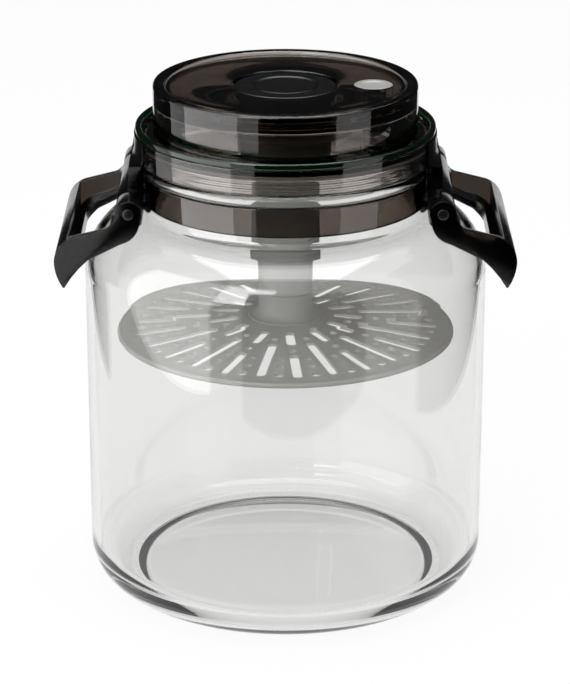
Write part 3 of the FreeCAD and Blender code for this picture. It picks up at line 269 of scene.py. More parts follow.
def end_tree(tree, geometry, slot):
    """Ends a tree with real geometry that carries the slot's material."""
    real = add_node(tree, "GeometryNodeRealizeInstances", {"Geometry": geometry})
    coated = add_node(tree, "GeometryNodeSetMaterial", {"Geometry": real.outputs[0],
                                                        "Material": material_for(slot)})
    add_node(tree, "NodeGroupOutput", {"Geometry": coated.outputs[0]})


def grown(name, tree, inputs, base=None):
    """Runs a tree on a base mesh with these inputs and returns the plain mesh."""
    thing = bpy.data.objects.new(name, base or bpy.data.meshes.new(name))
    bpy.context.scene.collection.objects.link(thing)
    modifier = thing.modifiers.new(name, "NODES")
    modifier.node_group = tree
    for item in tree.interface.items_tree:
        if item.name in inputs:
            modifier[item.identifier] = inputs[item.name]
    result = bpy.data.meshes.new_from_object(thing.evaluated_get(bpy.context.evaluated_depsgraph_get()))
    thing.modifiers.remove(modifier)
    bpy.data.objects.remove(thing)
    result.name = name
    return result


def calculated(tree, operation, first, second=0.0):
    return add_node(tree, "ShaderNodeMath", {0: first, 1: second}, operation=operation).outputs[0]


def round_middle(tree, shape, how_many, start, reach=0.0, level=0.0):
    """Repeats a shape evenly round the upright axis, turned to face outwards."""
    index = add_node(tree, "GeometryNodeInputIndex").outputs[0]
    step = calculated(tree, "DIVIDE", TAU, how_many)
    angle = calculated(tree, "ADD", calculated(tree, "MULTIPLY", index, step), start)
    x = calculated(tree, "MULTIPLY", calculated(tree, "COSINE", angle), reach)
    y = calculated(tree, "MULTIPLY", calculated(tree, "SINE", angle), reach)
    place = add_node(tree, "ShaderNodeCombineXYZ", {"X": x, "Y": y, "Z": level})
    points = add_node(tree, "GeometryNodePoints", {"Count": how_many, "Position": place.outputs[0]})
    turn = add_node(tree, "ShaderNodeCombineXYZ", {"Z": angle})
    return add_node(tree, "GeometryNodeInstanceOnPoints", {
        "Points": points.outputs[0], "Instance": shape, "Rotation": turn.outputs[0]}).outputs[0]


def moved(tree, shape, **place):
    spot = add_node(tree, "ShaderNodeCombineXYZ", place).outputs[0]
    return add_node(tree, "GeometryNodeTransform", {"Geometry": shape, "Translation": spot}).outputs[0]


def joined(tree, shapes):
    return add_node(tree, "GeometryNodeJoinGeometry", {"Geometry": shapes}).outputs[0]


def screw_tree(inputs):
    """Screws round a circle, each a head with a cross in it and a shank; Up is 1 or -1."""
    tree, source = node_tree("screw_circle", inputs)
    head = add_node(tree, "GeometryNodeMeshCylinder", {"Vertices": 28, "Radius": source["Head"],
                                                       "Depth": source["Head height"]}).outputs[0]
    long = calculated(tree, "MULTIPLY", source["Head"], 1.3)
    cut = source["Recess"]
    bars = [add_node(tree, "GeometryNodeMeshCube", {"Size": add_node(
        tree, "ShaderNodeCombineXYZ", {"X": x, "Y": y, "Z": source["Head height"]}).outputs[0]}).outputs[0]
        for x, y in ((long, cut), (cut, long))]
    half = calculated(tree, "MULTIPLY", source["Head height"], 0.5)
    half = calculated(tree, "MULTIPLY", half, source["Up"])
    bars = [moved(tree, bar, Z=half) for bar in bars]
    head = add_node(tree, "GeometryNodeMeshBoolean", {"Mesh 1": head, "Mesh 2": bars},
                    operation="DIFFERENCE", solver="EXACT").outputs[0]
    head = moved(tree, head, Z=half)
    shank = add_node(tree, "GeometryNodeMeshCylinder", {"Vertices": 20, "Radius": source["Shank"],
                                                        "Depth": source["Length"]}).outputs[0]
    down = calculated(tree, "MULTIPLY", source["Length"], -0.5)
    down = calculated(tree, "MULTIPLY", down, source["Up"])
    screw = joined(tree, [head, moved(tree, shank, Z=down)])
    end_tree(tree, round_middle(tree, screw, source["Screws"], source["Start"], source["Circle"],
                                source["Level"]), "steel")
    return tree


def knurl_tree(inputs):
    """Short ribs that point outwards round the foot of the jar."""
    tree, source = node_tree("foot_knurls", inputs)
    size = add_node(tree, "ShaderNodeCombineXYZ", {"X": source["Length"], "Y": source["Width"],
                                                   "Z": source["Height"]})
    rib = add_node(tree, "GeometryNodeMeshCube", {"Size": size.outputs[0]}).outputs[0]
    level = calculated(tree, "MULTIPLY", source["Height"], 0.5)
    end_tree(tree, round_middle(tree, rib, source["Knurls"], 0.0, source["Circle"], level), "glass")
    return tree


def perforation_tree(inputs):
    """Cuts the plate's slots and holes, in spokes of two kinds with rows of holes between."""
    tree, source = node_tree("plate_perforations", inputs)

    def slot(start, end):
        long = calculated(tree, "SUBTRACT", source[end], source[start])
        middle = calculated(tree, "MULTIPLY", calculated(tree, "ADD", source[end], source[start]), 0.5)
        plan = add_node(tree, "GeometryNodeCurvePrimitiveQuadrilateral", {"Width": long,
                                                                          "Height": source["Slot"]})
        soft = add_node(tree, "GeometryNodeFilletCurve", {"Curve": plan.outputs[0], "Count": 4,
                                                          "Radius": source["Corner"]}, mode="POLY")
        face = add_node(tree, "GeometryNodeFillCurve", {"Curve": soft.outputs[0]}, mode="NGONS").outputs[0]
        walls = add_node(tree, "GeometryNodeExtrudeMesh", {"Mesh": face, "Offset": (0, 0, 1),
                                                           "Offset Scale": CUTTER})
        under = add_node(tree, "GeometryNodeFlipFaces", {"Mesh": face}).outputs[0]
        closed = add_node(tree, "GeometryNodeMergeByDistance", {
            "Geometry": joined(tree, [walls.outputs[0], under]), "Distance": 0.00001}).outputs[0]
        return moved(tree, closed, X=middle, Z=source["Level"])

    def hole(reach, size):
        tube = add_node(tree, "GeometryNodeMeshCylinder", {"Vertices": 24, "Radius": source[size],
                                                           "Depth": CUTTER})
        level = calculated(tree, "ADD", source["Level"], CUTTER / 2)
        return moved(tree, tube.outputs[0], X=source[reach], Z=level)

    step = calculated(tree, "DIVIDE", TAU, source["Spokes"])
    rows = calculated(tree, "MULTIPLY", source["Spokes"], 2.0)
    kinds = (
        ([slot("Inner slot from", "Inner slot to"), slot("Outer slot from", "Outer slot to"),
          hole("Middle dot", "Dot")], source["Spokes"], 0.0),
        ([slot("Long slot from", "Long slot to"), hole("Inner dot", "Dot")], source["Spokes"], 0.5),
        ([hole(name + " reach", name + " hole") for name in ("First", "Second", "Third")], rows, 0.25),
    )
    cutters = []
    for shapes, how_many, share in kinds:
        start = calculated(tree, "ADD", source["Turn"], calculated(tree, "MULTIPLY", step, share))
        cutters.append(round_middle(tree, joined(tree, shapes), how_many, start))
    real = add_node(tree, "GeometryNodeRealizeInstances", {"Geometry": joined(tree, cutters)}).outputs[0]
    plate = add_node(tree, "GeometryNodeMeshBoolean", {"Mesh 1": source["Geometry"], "Mesh 2": [real]},
                     operation="DIFFERENCE", solver="EXACT").outputs[0]
    end_tree(tree, plate, "grey")
    return tree


def new_material(name, volume=None, bump=None, **sockets):
    """A Principled material; volume is (colour, density) and bump the grain's (width, depth) in mm."""
    material = bpy.data.materials.new(name)
    material.use_nodes = True
    tree = material.node_tree
    tree.nodes.clear()
    if bump:
        place = add_node(tree, "ShaderNodeTexCoord")
        grain = add_node(tree, "ShaderNodeTexNoise", {"Vector": place.outputs["Object"],
                                                      "Scale": 1000 / bump[0], "Detail": 3.0})
        relief = add_node(tree, "ShaderNodeBump", {"Height": grain.outputs["Fac"], "Strength": 1.0,
                                                   "Distance": bump[1] / 1000})
        sockets["Normal"] = relief.outputs["Normal"]
    shader = add_node(tree, "ShaderNodeBsdfPrincipled", sockets)
    result = add_node(tree, "ShaderNodeOutputMaterial", {"Surface": shader.outputs["BSDF"]})
    if volume:
        absorb = add_node(tree, "ShaderNodeVolumeAbsorption", {"Color": volume[0], "Density": volume[1]})
        tree.links.new(absorb.outputs["Volume"], result.inputs["Volume"])
    return material


def soda_lime_glass(finish):
    # Blown soda-lime glass: clear, slightly wavy, and greyer where the eye looks along the wall
    return new_material("soda_lime_glass", (linear("#c6c7c4"), 20.0), (71.43, 0.05),
                        **{"Base Color": finish.glass, "Transmission Weight": 1.0, "Roughness": 0.0,
                           "IOR": 1.52})


def dyed_san(name, dye, density):
    return new_material(name, (dye, density), (33.33, 0.02),
                        **{"Base Color": linear("#fdfcfb"), "Transmission Weight": 1.0, "Roughness": 0.02,
                           "IOR": 1.57})


def smoked_san(finish):
    # Smoked SAN: a clear moulded plastic with a polished face, whose brown dye darkens with its thickness
    return dyed_san("smoked_san", finish.smoke, 330.0)


def dark_smoked_san(finish):
    # The plastic of the neck band and the cover: the same, with more of the dye
    return dyed_san("dark_smoked_san", finish.smoke, 900.0)


def green_san(finish):
    # The same plastic dyed green, which lights up at its edges
    return new_material("green_san", None, (25.0, 0.02),
                        **{"Base Color": finish.rim, "Transmission Weight": 0.9, "Roughness": 0.05,
                           "IOR": 1.57})


def smoked_polycarbonate(finish):
    # Dyed polycarbonate: black through a thick wall and brown at a thin tip
    return new_material("smoked_polycarbonate", (finish.clip, 850.0), (16.67, 0.03),
                        **{"Base Color": linear("#b5a89c"), "Transmission Weight": 1.0, "Roughness": 0.2,
                           "IOR": 1.585})


def gloss_abs(finish):
    # Gloss black ABS with the faint orange peel of a polished mould
    return new_material("gloss_abs", None, (11.11, 0.02),
                        **{"Base Color": finish.black, "Roughness": 0.25, "IOR": 1.5})


def filled_abs(finish):
    # Plain moulded ABS of the pump's inside, dull from the mould
    return new_material("filled_abs", None, (11.11, 0.02),
                        **{"Base Color": finish.inner, "Roughness": 0.4, "IOR": 1.54})


def grey_polypropylene(finish):
    # Moulded polypropylene: satin, with a fine spark-eroded grain
    return new_material("grey_polypropylene", None, (1.111, 0.03),
                        **{"Base Color": finish.grey, "Roughness": 0.42, "IOR": 1.49,
                           "Subsurface Weight": 0.05})


def silver_paint(finish):
    # Silver lacquer on plastic, turned in fine rings about the button's own middle
    material = new_material("silver_paint", **{"Base Color": finish.silver, "Roughness": 0.34,
                                               "Metallic": 0.2})
    tree = material.node_tree
    place = add_node(tree, "ShaderNodeTexCoord")
    button = bpy.context.scene.keeper.knob.vent_offset
    middle = add_node(tree, "ShaderNodeMapping", {"Vector": place.outputs["Object"],
                                                  "Location": (-button, 0.0, 0.0)})
    spacing = 0.001208  # Drawn coarser than real turning marks, so that it shows
    rings = add_node(tree, "ShaderNodeTexWave", {"Vector": middle.outputs["Vector"],
                                                 "Scale": TAU / 20 / spacing, "Distortion": 0.4},
                     wave_type="RINGS", rings_direction="Z")
    relief = add_node(tree, "ShaderNodeBump", {"Height": rings.outputs["Fac"], "Distance": 0.00004})
    tree.links.new(relief.outputs["Normal"], tree.nodes["Principled BSDF"].inputs["Normal"])
    return material


def silicone_rubber(finish):
    # Moulded silicone rubber: milky and dull
    return new_material("silicone_rubber", None, (2.0, 0.02),
                        **{"Base Color": finish.silicone, "Roughness": 0.5, "Transmission Weight": 0.3,
                           "IOR": 1.41})


def stainless_steel(finish):
    # Drawn stainless wire and turned screws
    return new_material("stainless_steel", None, (0.6667, 0.01),
                        **{"Base Color": finish.steel, "Metallic": 1.0, "Roughness": 0.28})


MAKERS = {
    "glass": soda_lime_glass, "smoked": smoked_san, "rim": green_san, "clip": smoked_polycarbonate,
    "black": gloss_abs, "grey": grey_polypropylene, "inner": filled_abs, "button": silver_paint,
    "seal": silicone_rubber, "steel": stainless_steel,
}


def material_for(slot, maker=None):
    maker = maker or MAKERS[slot]
    return bpy.data.materials.get(maker.__name__) or maker(bpy.context.scene.keeper.finishes)


def rounded(corners):
    """Points along an outline of (across, up, round) corners, with each round as an arc."""
    points = []
    spots = [Vector(c[:2]) for c in corners]
    for i, corner in enumerate(corners):
        here = spots[i]
        size = corner[2] if len(corner) > 2 else 0
        if not size:
            points.append(here)
            continue
        back = (spots[i - 1] - here).normalized()
        ahead = (spots[(i + 1) % len(spots)] - here).normalized()
        inside = back.angle(ahead)
        reach = size / math.tan(inside / 2)
        centre = here + (back + ahead).normalized() * (size / math.sin(inside / 2))
        first, last = here + back * reach - centre, here + ahead * reach - centre
        steps = max(2, round((math.pi - inside) / math.radians(9)))
        turn = first.angle_signed(last)
        for k in range(steps + 1):
            arm = first.copy()
            arm.rotate(Matrix.Rotation(-turn * k / steps, 2))
            points.append(centre + arm)
    return points


def bent(corners):
    """Points along an outline of (across, up, radius) corners whose arcs lead to them."""
    points = []
    for i, corner in enumerate(corners):
        start, end = Vector(corners[i - 1][:2]), Vector(corner[:2])
        radius = corner[2] if len(corner) > 2 else 0
        if radius:
            along = end - start
            half = along.length / 2
            side = Vector((-along.y, along.x)).normalized() * math.sqrt(max(radius ** 2 - half ** 2, 0))
            centre = (start + end) / 2 + (side if radius > 0 else -side)
            first, last = start - centre, end - centre
            turn = first.angle_signed(last)
            if (turn < 0) != (radius > 0):
                turn += TAU if turn < 0 else -TAU
            steps = max(3, round(abs(turn) / math.radians(8)))
            for k in range(1, steps):
                arm = first.copy()
                arm.rotate(Matrix.Rotation(-turn * k / steps, 2))
                points.append(centre + arm)
        points.append(end)
    return points


def finish(name, mesh, slot, body, *nodes, maker=None):
    """Makes the piece's object: smooth shading, its finish, its body and what it stands for."""
    for face in mesh.polygons:
        face.use_smooth = True
    mesh.set_sharp_from_angle(angle=SMOOTH_UP_TO)
    mesh.materials.clear()
    mesh.materials.append(material_for(slot, maker))
    piece = bpy.data.objects.new(name, mesh)
    bpy.context.scene.collection.objects.link(piece)
    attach(piece, body)
    if nodes:
        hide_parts(*nodes)
    return piece


def mesh_from(name, form):
    """Turns a bmesh into a closed mesh whose faces point outwards."""
    bmesh.ops.remove_doubles(form, verts=form.verts, dist=1e-7)
    bmesh.ops.recalc_face_normals(form, faces=form.faces)
    mesh = bpy.data.meshes.new(name)
    form.to_mesh(mesh)
    form.free()
    return mesh


def turned(name, outline, start=0.0, sweep=TAU, centre=(0, 0), steps=FINE):
    """A solid turned about an upright axis from a closed outline of (radius, height) points."""
    form = bmesh.new()
    whole = abs(sweep - TAU) < 1e-6
    places = steps if whole else max(2, round(steps * sweep / TAU)) + 1
    rings = []
    for k in range(places):
        angle = start + sweep * k / (steps if whole else places - 1)
        x, y = math.cos(angle), math.sin(angle)
        rings.append([form.verts.new((centre[0] + p.x * x, centre[1] + p.x * y, p.y)) for p in outline])
    for k in range(places if whole else places - 1):
        here, there = rings[k], rings[(k + 1) % places]
        for i in range(len(outline)):
            j = (i + 1) % len(outline)
            if outline[i].x < 1e-9 and outline[j].x < 1e-9:
                continue
            form.faces.new((here[i], there[i], there[j], here[j]))
    if not whole:
        form.faces.new(rings[0])
        form.faces.new(list(reversed(rings[-1])))
    return mesh_from(name, form)


def across(name, outline, low, high):
    """A solid drawn in the XZ plane and carried from low to high along Y."""
    form = bmesh.new()
    front = [form.verts.new((p.x, low, p.y)) for p in outline]
    rear = [form.verts.new((p.x, high, p.y)) for p in outline]
    form.faces.new(front)
    form.faces.new(rear)
    for i in range(len(outline)):
        j = (i + 1) % len(outline)
        form.faces.new((front[i], front[j], rear[j], rear[i]))
    return mesh_from(name, form)


def shaped(mesh, *changes):
    """Applies modifiers in turn, each as (kind, settings), and returns the plain mesh."""
    mesh.materials.clear()
    thing = bpy.data.objects.new(mesh.name, mesh)
    bpy.context.scene.collection.objects.link(thing)
    tools = []
    for kind, settings in changes:
        modifier = thing.modifiers.new(kind, kind)
        for key, value in settings.items():
            if isinstance(value, bpy.types.Mesh):
                value = bpy.data.objects.new(value.name, value)
                bpy.context.scene.collection.objects.link(value)
                tools.append(value)
            setattr(modifier, key, value)
    result = bpy.data.meshes.new_from_object(thing.evaluated_get(bpy.context.evaluated_depsgraph_get()))
    for tool in tools + [thing]:
        bpy.data.objects.remove(tool)
    result.name = mesh.name
    return result


def half_turned(mesh):
    """The same piece for the other side, turned about the jar's axis."""
    copy = mesh.copy()
    copy.transform(Matrix.Rotation(math.pi, 4, "Z"))
    return copy


def together(name, *meshes):
    """Several closed shells as one mesh."""
    form = bmesh.new()
    for mesh in meshes:
        form.from_mesh(mesh)
    return mesh_from(name, form)


def levels(node):
    low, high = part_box(node)
    return low.z, high.z


def plain_ring(name, inner, outer, low, high, edge=PLAIN, **more):
    return turned(name, rounded([(inner, low, edge), (outer, low, edge), (outer, high, edge),
                                 (inner, high, edge)]), **more)


def upright(name, outline, low, high):
    """A solid drawn in plan, symmetric front to rear, and carried from low to high."""
    mesh = across(name, outline, low, high)
    mesh.transform(Matrix.Rotation(math.pi / 2, 4, "X"))
    return mesh


def disc(name, radius, low, high, edge=PLAIN, **more):
    return turned(name, rounded([(0, low), (radius, low, edge), (radius, high, edge), (0, high)]), **more)


def crosswise(name, radius, x, z, low, high):
    """A round bar along Y."""
    turns = [TAU * k / BAR for k in range(BAR)]
    circle = [Vector((x + radius * math.cos(a), z + radius * math.sin(a))) for a in turns]
    return across(name, circle, low, high)


def cut_by(tool):
    return ("BOOLEAN", {"operation": "DIFFERENCE", "solver": "EXACT", "object": tool})


def added(tool):
    return ("BOOLEAN", {"operation": "UNION", "solver": "EXACT", "object": tool})


def bevelled(width, segments=3, angle=40):
    return ("BEVEL", {"width": width, "segments": segments, "limit_method": "ANGLE",
                      "angle_limit": math.radians(angle), "harden_normals": False})


class KEEPER_OT_jar(Operator):
    """Blow the glass jar, with its neck, bead and knurled foot"""
    bl_idname = "keeper.jar"
    bl_label = "Glass Jar"

    def execute(self, context):
        s = context.scene.keeper.glass
        top = levels("glass_jar")[1]
        throat = s.shoulder_top - s.wall
        inner = s.radius - s.wall
        floor = s.punt + s.base
        foot = s.radius - s.base_round
        # Rounds of fire-polished glass: the hollow, the foot, the neck, the bead and the lip
        hollow, toe, neck, bead, lip = 0.008, 0.0012, 0.0018, 0.0022, 0.0008
        outline = rounded([
            (0, s.punt), (foot - 2 * s.foot, s.punt, hollow), (foot - s.foot, 0, toe),
            (s.radius, 0, s.base_round), (s.radius, s.shoulder_top, s.shoulder_round),
            (s.neck, s.shoulder_top, neck), (s.neck, s.bead_low, SOFT), (s.bead, s.bead_low, bead),
            (s.bead, s.bead_high, bead), (s.lip, s.bead_high, LARGE), (s.lip, top, lip),
            (s.mouth, top, lip), (s.mouth, throat, neck + s.wall - SMALL),
            (inner, throat, s.shoulder_round - s.wall), (inner, floor, s.base_round - s.wall), (0, floor)])
        finish("jar_glass", turned("jar_glass", outline, steps=FINEST), "glass", "jar", "glass_jar")
        inputs = {"Knurls": s.ribs, "Circle": foot + toe, "Length": 0.0032, "Width": s.rib_width,
                  "Height": 0.00035}
        finish("foot_knurls", grown("foot_knurls", knurl_tree(inputs), inputs), "glass", "jar")
        return {"FINISHED"}


class KEEPER_OT_collar(Operator):
    """Make the band round the neck, in two halves, and the catch plates over its joints"""
    bl_idname = "keeper.collar"
    bl_label = "Neck Band"

    def execute(self, context):
        s = context.scene.keeper.glass
        low, high = levels("collar_front")
        outer = -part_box("collar_front")[0].y
        gap = 0.0006 / s.neck  # Half of the joint between the halves, as an angle
        for name, start in (("collar_rear", 0.0), ("collar_front", math.pi)):
            mesh = plain_ring(name, s.neck + HAIR, outer, low, high, LARGE, start=start + gap,
                              sweep=math.pi - 2 * gap)
            finish("band_" + name[7:], mesh, "smoked", "jar", name, maker=dark_smoked_san)
        low, high = levels("catch_plate_right")
        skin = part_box("catch_plate_right")[1].x
        half = math.asin(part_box("catch_plate_right")[1].y / skin)
        mesh = plain_ring("catch", outer, skin, low, high, SOFT, start=-half, sweep=2 * half)
        other = half_turned(mesh)
        finish("catch_right", mesh, "clip", "jar", "catch_plate_right")
        finish("catch_left", other, "clip", "jar", "catch_plate_left")
        return {"FINISHED"}


class KEEPER_OT_lid(Operator):
    """Mould the ring, its seal, the green rim, the drum and its cover"""
    bl_idname = "keeper.lid"
    bl_label = "Lid"

    def execute(self, context):
        s = context.scene.keeper.lid
        low, high = levels("lid_ring")
        rim_low, rim_high = levels("rim_band")
        web_low = levels("mouth_gasket")[1]
        web_high = levels("lid_drum")[0]
        inner = s.ring - s.ring_wall
        channel = s.ring - s.rim_wall
        grooves = []
        for k in range(s.grooves, 0, -1):
            middle = low + (web_low - low) * k / (s.grooves + 1)
            for out, up in ((0, 1), (1, 1), (1, -1), (0, -1)):
                grooves.append((inner + out * s.groove_depth, middle + up * s.groove_half, CREASE))
        outline = rounded([(s.web_hole, web_low, SMALL), (inner, web_low)] + grooves + [
            (inner, low, PLAIN), (s.ring, low, LARGE), (s.ring, high), (channel, high), (channel, web_high),
            (s.web_hole, web_high, SMALL)])
        clip = context.scene.keeper.clip
        seat = s.ring - clip.plate_depth
        half = math.asin(clip.plate_width / 2 / s.ring)
        past = 0.002
        block = turned("seat", rounded([(seat, low - past), (s.ring + 2 * past, low - past),
                                        (s.ring + 2 * past, high + past), (seat, high + past)]),
                       start=-half, sweep=2 * half)
        seats = together("seats", block, half_turned(block))
        ring = shaped(turned("lid_ring_smoked", outline), cut_by(seats))
        finish("lid_ring_smoked", ring, "smoked", "lid", "lid_ring")
        rim = plain_ring("rim_green", channel, s.ring + STEP, rim_low, rim_high, 0.0009)
        finish("rim_green", rim, "rim", "lid", "rim_band")
        seal_low, seal_high = levels("mouth_gasket")
        seal_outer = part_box("mouth_gasket")[1].y
        seal = plain_ring("mouth_seal", seal_outer - s.seal, seal_outer, seal_low, seal_high, LARGE)
        finish("mouth_seal", seal, "seal", "lid", "mouth_gasket")

        base, top = levels("lid_drum")
        wall = s.drum - s.drum_wall
        lip = s.drum - s.drum_lip
        under = top - s.drum_lip_depth
        floor = base + s.floor
        fillet = 0.001
        outline = rounded([
            (s.pump_hole, base), (s.drum, base, LARGE), (s.drum, top, s.lip_round), (lip, top, s.lip_round),
            (lip, under, BROKEN), (lip - s.ledge, under, BROKEN), (lip - s.ledge, under - s.ledge, PLAIN),
            (wall, under - 2 * s.ledge, fillet), (wall, floor, fillet), (s.pump_hole, floor)])
        knob = context.scene.keeper.knob
        vent = (knob.vent_offset, 0)
        boss = disc("boss", s.boss, base + STEP, floor + 2 * past, centre=vent, steps=BAR)
        bore = disc("bore", s.bore, base - past / 2, floor + 3 * past, centre=vent, steps=PIN)
        drum = shaped(turned("drum_smoked", outline), added(boss), cut_by(bore))
        finish("drum_smoked", drum, "smoked", "lid", "lid_drum")

        low, high = levels("top_cover")
        blank = plain_ring("cover_smoked", knob.radius + 2 * s.gap, lip - s.gap, low, high, SOFT)
        hole = disc("hole", knob.vent + s.gap, low - past, high + past, centre=vent, steps=COARSE)
        cover = shaped(blank, cut_by(hole))
        finish("cover_smoked", cover, "smoked", "lid", "top_cover", maker=dark_smoked_san)
        return {"FINISHED"}


class KEEPER_OT_knob(Operator):
    """Make the pump knob with its disc, and the vent button"""
    bl_idname = "keeper.knob"
    bl_label = "Knob and Button"

    def execute(self, context):
        s = context.scene.keeper.knob
        low, high = levels("pump_knob")
        under = high - s.top
        seat = levels("knob_insert")[0]
        inner = s.radius - s.skirt
        pocket = s.insert + STEP
        # The knob's screw: its hole, its head and how far the head is let in
        screws = context.scene.keeper.screws
        hole, head, sunk = screws.shank, screws.head, screws.head_height / 2
        outline = rounded([
            (hole, under), (inner, under, LARGE), (inner, low, PLAIN), (s.radius, low, PLAIN),
            (s.radius, high, s.edge), (s.insert + s.bevel, high, LARGE), (pocket, high - 0.0007, SMALL),
            (pocket, seat), (head, seat), (head, seat - sunk), (hole, seat - sunk)])
        finish("knob_black", turned("knob_black", outline), "black", "knob", "pump_knob")
        low, high = levels("knob_insert")
        finish("knob_disc", disc("knob_disc", s.insert, low, high), "black", "knob", "knob_insert")
        low, high = levels("vent_button")
        # A shallow dish inside a raised edge
        edge, slope, deep, soft = 0.0022, 0.0034, 0.0005, 0.001
        dish = rounded([(0, low), (s.vent, low, SMALL), (s.vent, high, 0.0007), (s.vent - edge, high, soft),
                        (s.vent - slope, high - deep, soft), (0, high - deep)])
        button = turned("button_silver", dish, centre=(s.vent_offset, 0), steps=COARSE)
        finish("button_silver", button, "button", "vent", "vent_button")
        return {"FINISHED"}


class KEEPER_OT_clips(Operator):
    """Mould the two side clips, and the hinge plates and pins that carry them"""
    bl_idname = "keeper.clips"
    bl_label = "Side Clips"

    def placed(self, s, points):
        """Points in millimetres out from the hinge and up, as places in the scene."""
        return [Vector((s.hinge_x + p.x / 1000, s.hinge_z + p.y / 1000)) for p in points]

    def clip(self, s):
        half, opening = s.width / 2, s.window / 2
        k = s.knuckle * 1000
        # Down the leg's underside, round the tip and back over the bar, as (out, up, radius)
        body = across("clip", self.placed(s, bent([
            (-k, 0, k), (-4.4, -4.4), (3.2, -12.3, 9.8), (16.3, -18.9), (25.9, -30.5, -45), (26.5, -30.5),
            (29.8, -21.0, 20.6), (22.4, -9.5, 11.0), (9.4, -6.2), (k, -1.5, -6.6), (k, 0), (0, k, k),
        ])), -half, half)
        inside = s.bar_start * 1000
        # The tray between the side walls, above a floor that follows the underside
        tray = self.placed(s, bent([(7.4, -1.0), (7.4, -11.6), (14.8, -15.0), (inside, -20.5, -14),
                                    (inside, 4.0), (7.4, 4.0)]))
        side = half - s.wall
        tray = across("tray", tray, -side, side)
        # The window is cut right through, from behind the hinge to the bar
        near, under, over = s.hinge_x - 0.012, s.hinge_z - 0.045, s.hinge_z + 0.02
        far = s.hinge_x + s.window_end
        plan = rounded([(near, -opening), (far, -opening, s.window_round), (far, opening, s.window_round),
                        (near, opening)])
        window = upright("window", plan, under, over)
        # The claw is a strip of a ring about the hinge, below it
        first, sweep, steps = 232, 53, 12
        claw_points = []
        for radius, order in ((s.claw_inner * 1000, 1), (s.claw_outer * 1000, -1)):
            arc = [Vector((radius * math.cos(a), radius * math.sin(a)))
                   for a in (math.radians(first + sweep * i / steps) for i in range(steps + 1))]
            claw_points += arc[::order]
        reach = opening + s.knuckle
        claw = across("claw", self.placed(s, claw_points), -reach, reach)
        bore = crosswise("bore", s.pin + HAIR, s.hinge_x, s.hinge_z, -2 * half, 2 * half)
        return shaped(body, cut_by(tray), cut_by(window), bevelled(s.edge_round), added(claw), cut_by(bore))

    def hinge(self, s, lid):
        """The plate let into the lid's ring, the web below it and the knuckle."""
        low, high = levels("lid_ring")
        half = s.plate_width / 2
        proud = lid.ring + s.plate_proud
        back, front = 0.054, s.hinge_x + 0.0005
        into, slope, under, clearance = 0.001, 0.003, 0.02, 0.0003
        web = across("hinge", [Vector(p) for p in ((back, s.hinge_z), (front, s.hinge_z), (front, low + into),
                                                   (back, low + into))], -half, half)
        knuckle = crosswise("knuckle", s.knuckle, s.hinge_x, s.hinge_z, -s.knuckle_width / 2,
                            s.knuckle_width / 2)
        bead = bpy.context.scene.keeper.glass.bead + clearance
        jar_side = disc("jar_side", bead, s.hinge_z - under, low, 0.0)
        seat = lid.ring - s.plate_depth
        turn = math.asin(half / lid.ring)
        plate = rounded([(seat, low), (front, low), (proud, low + slope), (proud, high, LARGE), (seat, high)])
        plate = turned("plate", plate, start=-turn, sweep=2 * turn)
        bore = crosswise("bore", s.pin, s.hinge_x, s.hinge_z, -s.width, s.width)
        return shaped(web, added(knuckle), cut_by(jar_side), added(plate), bevelled(SOFT, 2, 50),
                      cut_by(bore))

    def execute(self, context):
        s = context.scene.keeper.clip
        lid = context.scene.keeper.lid
        clip = self.clip(s)
        hinge = self.hinge(s, lid)
        seat = s.width / 2 + HAIR
        # A pin with a low domed head on each leg
        dome = 0.0003
        profile = [(0, -seat - dome)] + [(s.pin_head * math.sin(a), -seat - dome * math.cos(a))
                                         for a in (math.radians(15 * i) for i in range(1, 7))]
        profile.append((s.pin, -seat))
        profile = [Vector(p) for p in profile] + [Vector((x, -y)) for x, y in reversed(profile)]
        pin = turned("pin", profile, steps=PIN)
        pin.transform(Matrix.Translation((s.hinge_x, 0, s.hinge_z)) @ Matrix.Rotation(math.pi / 2, 4, "X"))
        for side, turn in (("right", False), ("left", True)):
            for name, mesh, slot, body, node in (
                    ("clip_", clip, "clip", "clip_" + side, "clip_"),
                    ("hinge_", hinge, "clip", "lid", "hinge_block_"),
                    ("pin_", pin, "black", "lid", "hinge_pin_")):
                shape = half_turned(mesh) if turn else mesh.copy()
                finish(name + side + "_moulded", shape, slot, body, node + side)
        return {"FINISHED"}


